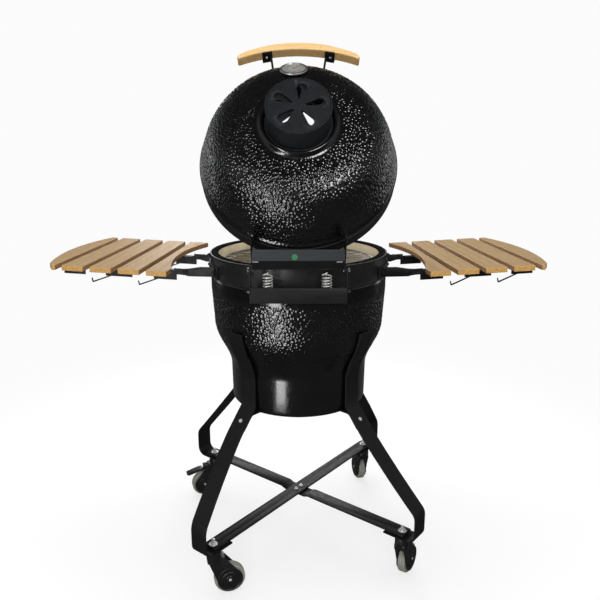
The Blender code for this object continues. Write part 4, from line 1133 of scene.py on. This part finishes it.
# ------------------------------------------------------------------ shelves
# In a shelf's plane u runs outward from the grill's axis and v from front to rear.
SWEEP, TILT = math.radians(5.95), math.radians(2.2)
SLAT_T, SLAT_W, PITCH = 0.0155, 0.062, 0.0815
U0, V0, V1 = 0.342, -0.243, 0.240
SLATS, ARC_STEPS = 5, 48
BAR_V = (0.149, -0.083)  # the two bars under the slats
MOUNT_DEGREES = (-24, 26.5, 0)  # bolts of the right-hand mount; the left is mirrored


def shelf_frame(side):
    """Frame of a shelf: x along u; y along v on the right shelf, against it on the left."""
    u = Vector((side * math.cos(SWEEP) * math.cos(TILT), -math.sin(SWEEP) * math.cos(TILT),
                math.sin(TILT)))
    v = Vector((side * math.sin(SWEEP), math.cos(SWEEP), 0.0)) * side
    frame = Matrix((u, v, u.cross(v))).transposed().to_4x4()
    frame.translation = Vector((0, 0, RIM_Z - 0.038))
    return frame


def arc_points(p0, p1, sag):
    """Arc in (u, v) from p0 to p1 that bulges by sag toward +u."""
    chord = (p1[1] - p0[1]) / 2
    radius = (chord ** 2 + sag ** 2) / (2 * sag)
    out = []
    for i in range(ARC_STEPS + 1):
        v = p0[1] + (p1[1] - p0[1]) * i / ARC_STEPS
        base = p0[0] + (p1[0] - p0[0]) * i / ARC_STEPS
        t = v - (p0[1] + p1[1]) / 2
        out.append((base + math.sqrt(radius ** 2 - t ** 2) - (radius - sag), v))
    return out


def slat_outline(i):
    """Slat outline in (u, v); the first is curved to clear the bowl, the last is bowed out."""
    u0 = U0 + i * PITCH
    u1 = u0 + SLAT_W
    if i == 0:
        return arc_points((u0, V0), (u0 + 0.003, 0.190), 0.037) + [
            (u0 + 0.003, V1), (u1, V1), (u1, V0)]
    if i == SLATS - 1:
        return [(u0, V0)] + arc_points((0.688, V0), (0.694, 0.215), 0.034) + [
            (0.678, V1), (u0, V1)]
    return [(u0, V0), (u1, V0), (u1, V1), (u0, V1)]


def make_slats(word, side, at, mat):
    for i in range(SLATS):
        top = -0.0001 + min(0.0, 0.0002 * math.sin(3.1 * i + side))
        bm = bmesh.new()
        add_prism(bm, [(u, side * v) for u, v in slat_outline(i)], -SLAT_T, top)
        name = f"shelf_{word}_slat_{i + 1}"
        slat = solid(name + "_bamboo", bm, mat, at, "shelf_" + word, "bamboo",
                     0.0017, 3, 40, name)
        slat.visible_glossy = False


def make_slat_screws(word, side, at):
    """Screws from below through both bars, into every slat but the outermost."""
    bm = bmesh.new()
    for bar_v in BAR_V:
        v = bar_v - math.copysign(0.013, bar_v)
        for i in range(SLATS - 1):
            u = U0 + i * PITCH + SLAT_W / 2
            add_dome(bm, at @ aim((u, side * v, -SLAT_T - 0.0034), (0, 0, -1)),
                     0.0038, 0.0016, 20)
    solid(f"shelf_{word}_screws", bm, ZINC, HERE, "shelf_" + word, "zinc")


def make_mount_bolts(word, side, at):
    """Bolts at the bars' inner ends and where the mount meets the band."""
    bm = bmesh.new()
    for bar_v in BAR_V:
        out = 1 if bar_v > 0 else -1
        spot = (0.320, side * (bar_v + out * 0.0052), -0.019)
        add_hex(bm, at @ aim(spot, (0, side * out, 0)),
                radius=0.0060, height=0.0045, washer=0.0085, stud=0.0015)
    for degrees in MOUNT_DEGREES:
        angle = math.radians(degrees if side > 0 else 180 - degrees)
        add_hex(bm, RIM @ aim_outward(0.2735, angle, -0.0445),
                radius=0.0050, height=0.0036, washer=0.0075, stud=0.001)
    solid(f"shelf_{word}_mount_bolts", bm, POWDER, HERE, "root", "black_steel")


BAMBOO_SLATS = {word: make_bamboo("bamboo_slats_" + word, shelf_frame(side))
                for word, side in SIDES}
for word, side in SIDES:
    at = shelf_frame(side)
    make_slats(word, side, at, BAMBOO_SLATS[word])
    refine(f"shelf_{word}_frame", POWDER, "shelf_" + word, "black_steel", 0.0005)
    refine(f"shelf_{word}_mount", POWDER, "root", "black_steel", 0.0006)
    make_slat_screws(word, side, at)
    make_mount_bolts(word, side, at)

# ------------------------------------------------------------------ cart legs
# The cart is turned a little about the axis, more at its foot than at its top.
TURN_TOP, TURN_FOOT = math.radians(2.0), math.radians(6.6)
LEG_OUT, LEG_W, LEG_T = 0.4555, 0.058, 0.005
KNEE_R, FOOT_BEND, TAB_Z = 0.045, 0.0275, -0.8245
# The straight splayed run of a leg, in (r, z).
SPLAY_TOP, SPLAY_LOW = Vector((0.2185, -0.445)), Vector((LEG_OUT, -0.735))
SLOPE = (SPLAY_LOW - SPLAY_TOP).normalized()


def turn_at(z):
    """How far the cart is turned at height z from the rim."""
    down = min(1.0, max(0.0, (-0.52 - z) / (-0.52 - SPLAY_LOW.y)))
    return TURN_TOP + (TURN_FOOT - TURN_TOP) * down


def spline_through(points, per):
    """A smooth path through points, per steps to a span."""
    out = []
    last = len(points) - 1
    for i in range(last):
        p0, p1, p2, p3 = (Vector(points[min(last, max(0, i + k))]) for k in (-1, 0, 1, 2))
        for k in range(per):
            t = k / per
            out.append(0.5 * (2 * p1 + (p2 - p0) * t + (2 * p0 - 5 * p1 + 4 * p2 - p3) * t * t
                              + (3 * p1 - p0 - 3 * p2 + p3) * t ** 3))
    return out + [Vector(points[-1])]


def leg_path():
    """Middle of the bar in (r, z): down the bowl, out, straight down, in to a foot tab."""
    knee = math.atan2(SLOPE.x, -SLOPE.y)
    tangent = KNEE_R * math.tan(knee / 2)
    path = spline_through([(0.2668, -0.207), (0.2655, -0.218), (0.2525, -0.264),
                           (0.2330, -0.304), (0.2200, -0.345), (0.2183, -0.365)], 5)
    path += [Vector((0.2184, -0.405)), SPLAY_TOP]
    path += [SPLAY_TOP.lerp(SPLAY_LOW - SLOPE * tangent, t)
             for t in np.linspace(0.0, 1.0, 17)[1:-1]]
    path += [Vector((LEG_OUT - KNEE_R * (1 - math.cos(a)),
                     SPLAY_LOW.y - tangent + KNEE_R * math.sin(a)))
             for a in np.linspace(knee, 0, 15)]
    path += [Vector((LEG_OUT - FOOT_BEND * (1 - math.cos(a)),
                     TAB_Z + FOOT_BEND * (1 - math.sin(a))))
             for a in np.linspace(0, math.pi / 2, 19)]
    return path + [Vector((0.350, TAB_Z))]


def make_leg(word, degrees, path):
    """A flat bar swept along the path, twisting with the cart."""
    bm = bmesh.new()
    rows = []
    for i, here in enumerate(path):
        before = (here - path[i - 1]) if i else (path[1] - here)
        after = (path[i + 1] - here) if i < len(path) - 1 else before
        before = before.normalized()
        along = (before + after.normalized()).normalized()
        across = Vector((-along.y, along.x))
        half = LEG_T / 2 / max(0.3, across.dot(Vector((-before.y, before.x))))
        row = []
        for out, y in ((half, -LEG_W / 2), (half, LEG_W / 2), (-half, LEG_W / 2),
                       (-half, -LEG_W / 2)):
            p = here + across * out
            turn = Matrix.Rotation(turn_at(p.y) + math.radians(degrees), 3, "Z")
            row.append(bm.verts.new(turn @ Vector((p.x, y, p.y))))
        rows.append(row)
    join_rings(bm, rows, 4)
    bm.faces.new(rows[0][::-1])
    bm.faces.new(rows[-1])
    solid(f"leg_{word}_bar", bm, POWDER, RIM, "root", "black_steel", 0.0010, 2, 50,
          "leg_" + word)


path = leg_path()
for word, degrees, heading in CORNERS:
    make_leg(word, degrees, path)

# ------------------------------------------------------------------ cradle, braces, bolts
CASTER_R = 0.400
FOOT = RIM @ Matrix.Rotation(TURN_FOOT, 4, "Z")
refine("cradle_cross", POWDER, "root", "black_steel", 0.0009)
for name, degrees in (("brace_upper", 45), ("brace_lower", 135)):
    # The CAD brace is widened across its length and raised a little.
    bar = refine(name, POWDER, "root", "black_steel", 0.0008)
    turn = Matrix.Rotation(TURN_FOOT + math.radians(degrees), 4, "Z")
    widen = Matrix.Diagonal((1, 1.42, 1, 1))
    bar.data.transform(shift(0, 0, 0.003) @ turn @ widen @ turn.inverted())

bm = bmesh.new()
outward = Vector((-SLOPE.y, SLOPE.x))
spot = SPLAY_TOP + SLOPE * 0.0514 + outward * (LEG_T / 2)
for word, degrees, heading in CORNERS:
    turn = RIM @ Matrix.Rotation(TURN_TOP + math.radians(degrees), 4, "Z")
    add_hex(bm, turn @ aim((spot.x, 0, spot.y), (outward.x, 0, outward.y)),
            radius=0.0044, height=0.0034, washer=0.0062, stud=0.0012)
for offset in (0.009, -0.009):
    add_hex(bm, FOOT @ aim((offset, offset, -0.8137), (0, 0, 1)),
            radius=0.0046, height=0.0034, washer=0.0066, stud=0.0015)
disc = [(0, 0), (0.0125, 0), (0.0128, 0.0003), (0.0128, 0.0007), (0.0124, 0.0011), (0, 0.0011)]
for word, degrees, heading in CORNERS:
    add_turned(bm, disc, FOOT @ spin(degrees) @ aim((CASTER_R, 0, -0.8138), (0, 0, 1)), 36)
solid("cart_bolts", bm, ZINC, HERE, "root", "zinc")

# ------------------------------------------------------------------ casters
TRAIL, WHEEL_R = 0.044, 0.046
WHEEL_Z = WHEEL_R - RIM_Z
# Profiles in (r, z) about the axle.
WHEEL_COVER = [(0, 0), (0.0376, 0), (0.0380, 0.0006), (0.0378, 0.0016), (0.0364, 0.0022),
               (0.0345, 0.0018), (0.0335, 0.0009), (0.0240, 0.0009), (0.0230, 0.0018),
               (0.0120, 0.0024), (0.0112, 0.0032), (0.0075, 0.0036), (0, 0.0037)]
WHEEL_TREAD = fillet([
    (0.0415, 0.0119, 0.001), (0.0452, 0.0112, 0.002), (WHEEL_R, 0.0085, 0.001),
    (WHEEL_R, 0.0014, 0.0003), (0.0454, 0.0009, 0.0003), (0.0454, -0.0009, 0.0003),
    (WHEEL_R, -0.0014, 0.0003), (WHEEL_R, -0.0085, 0.001), (0.0452, -0.0112, 0.002),
    (0.0415, -0.0119, 0.001), (0.0150, -0.0119), (0.0045, -0.0119), (0.0045, 0.0119),
    (0.0150, 0.0119)], 0.0004, 3)


def make_caster(word, degrees, heading):
    refine("caster_stem_" + word, ZINC, "root", "zinc", 0.0007)
    stem = FOOT @ spin(degrees) @ Vector((CASTER_R, 0, 0))
    swivel = shift(stem.x, stem.y, RIM_Z) @ spin(heading)
    body = "caster_" + word
    refine("caster_fork_" + word, PLASTIC, body, "black_plastic", 0.0012)
    covers, caps = bmesh.new(), bmesh.new()
    for s in (-1, 1):
        add_turned(covers, WHEEL_COVER, swivel @ aim((TRAIL, s * 0.0161, WHEEL_Z), (0, s, 0)), 64)
        add_dome(caps, swivel @ aim((TRAIL, s * 0.0197, WHEEL_Z), (0, s, 0)), 0.0046, 0.0016)
    solid("caster_cover_" + word, covers, PLASTIC, HERE, body, "black_plastic")
    solid("caster_axle_cap_" + word, caps, ZINC, HERE, body, "zinc")
    axle = swivel @ shift(TRAIL, 0, WHEEL_Z) @ spin(-90, "X")
    turned(f"wheel_{word}_tread", WHEEL_TREAD, 128, TREAD, axle, "wheel_" + word, "tread",
           stands_for="wheel_" + word)
    if word.startswith("front"):
        refine("brake_pedal_" + word, PLASTIC, "pedal_" + word, "black_plastic", 0.0012)


for corner_row in CORNERS:
    make_caster(*corner_row)


# ------------------------------------------------------------------ floor
PALE = 0.97  # brightness of the backdrop as the camera sees it


def make_stage_material():
    """Seen by the camera it is lit near the grill and plain pale far off; else it is grey."""
    mat = bpy.data.materials.new("stage_pale")
    tree = fresh_tree(mat)

    def add(kind, *sockets, **settings):
        return add_node(tree, kind, sockets, **settings).outputs[0]

    def grey(level):
        return add("BsdfDiffuse", (level, level, level, 1))

    path = add_node(tree, "LightPath").outputs
    pale = add("Emission", (1, 1, 1, 1), PALE)
    near = add("AddShader", grey(0.40), add("Emission", None, 0.66))
    position = add_node(tree, "NewGeometry").outputs["Position"]
    distance = add_node(tree, "VectorMath", [position], operation="LENGTH").outputs["Value"]
    # Fades from near to far between these distances from the origin.
    far = add("MapRange", distance, 0.75, 2.2, 0.0, 1.0, interpolation_type="SMOOTHSTEP")
    seen = add("MixShader", far, near, pale)
    unseen = add("MixShader", path["Is Glossy Ray"], grey(0.42), grey(0.08))
    final = add("MixShader", path["Is Camera Ray"], unseen, seen)
    add_node(tree, "OutputMaterial", {"Surface": final})
    return mat


bm = bmesh.new()
bmesh.ops.create_circle(bm, cap_ends=True, segments=96, radius=40.0)
floor = mesh_object("floor_pale", bm, outward=False)
floor.location = (0, 0, -0.0006)
floor.data.materials.append(make_stage_material())


# ------------------------------------------------------------------ world
def make_world():
    """Pale to the camera, dim as fill, and darkening with height in reflections."""
    world = bpy.data.worlds.new("studio")
    bpy.context.scene.world = world
    tree = fresh_tree(world)

    def add(kind, *sockets):
        return add_node(tree, kind, sockets).outputs[0]

    path = add_node(tree, "LightPath").outputs
    pale = add("Background", (1, 1, 1, 1), PALE)
    dim = add("Background", (0.98, 0.99, 1, 1), 0.34)
    direction = add_node(tree, "TexCoord").outputs["Generated"]
    height = add_node(tree, "SeparateXYZ", [direction]).outputs["Z"]
    # Brightness falls from 0.34 to 0.03 as the direction rises from 0.05 to 0.75.
    glow = add("MapRange", height, 0.05, 0.75, 0.34, 0.03)
    reflected = add("Background", (0.96, 0.98, 1, 1), glow)
    soft = add("MixShader", path["Is Glossy Ray"], dim, reflected)
    final = add("MixShader", path["Is Camera Ray"], soft, pale)
    add_node(tree, "OutputWorld", {"Surface": final})


make_world()


# ------------------------------------------------------------------ lights
def softbox(name, location, target, size, power, glossy=True, diffuse=True):
    data = bpy.data.lights.new(name, "AREA")
    data.shape = "RECTANGLE"
    data.size, data.size_y = size
    data.energy = power
    obj = link(name, data)
    obj.location = location
    direction = Vector(target) - Vector(location)
    obj.rotation_euler = direction.to_track_quat("-Z", "Y").to_euler()
    obj.visible_camera = False
    obj.visible_glossy = glossy
    obj.visible_diffuse = diffuse


# Strips seen only in reflections.
softbox("strip_left", (1.45, 2.55, 1.25), target=(0, 0, 0.8), size=(0.36, 1.5), power=25,
        diffuse=False)
softbox("strip_right_high", (-1.0, 2.2, 2.3), target=(0, 0.3, 1.2), size=(0.85, 0.8), power=32,
        diffuse=False)
softbox("strip_low", (0.62, 1.2, 0.42), target=(0, 0.2, 0.6), size=(0.34, 0.80), power=7.5,
        diffuse=False)
# Fills; the overhead and the camera fill leave no reflection.
softbox("overhead", (0.0, -0.2, 3.4), target=(0, 0, 0.9), size=(2.6, 2.2), power=56,
        glossy=False)
softbox("camera_fill", (0.0, 3.4, 1.9), target=(0, 0, 0.9), size=(2.4, 1.8), power=62,
        glossy=False)
softbox("side_left", (2.6, -1.4, 1.2), target=(0, 0, 0.9), size=(0.6, 1.8), power=4)
softbox("side_right", (-2.6, -1.4, 1.2), target=(0, 0, 0.9), size=(0.6, 1.8), power=4)
softbox("front_fill", (0.3, -2.8, 1.3), target=(0, 0, 0.8), size=(1.6, 1.6), power=26)

# ------------------------------------------------------------------ camera
# It stands behind the grill, looking toward the front and a little down.
CAMERA_DOWN = 14.65  # degrees
lens = bpy.data.cameras.new("photo_view")
lens.sensor_width = 36
lens.lens = 39.06
lens.shift_x = 0.0025
camera = link("photo_view", lens)
camera.location = (0, 1.9734, 1.3335)
camera.rotation_euler = (math.radians(90 - CAMERA_DOWN), 0, math.radians(180))
bpy.context.scene.camera = camera
bpy.context.scene.view_settings.view_transform = "Standard"
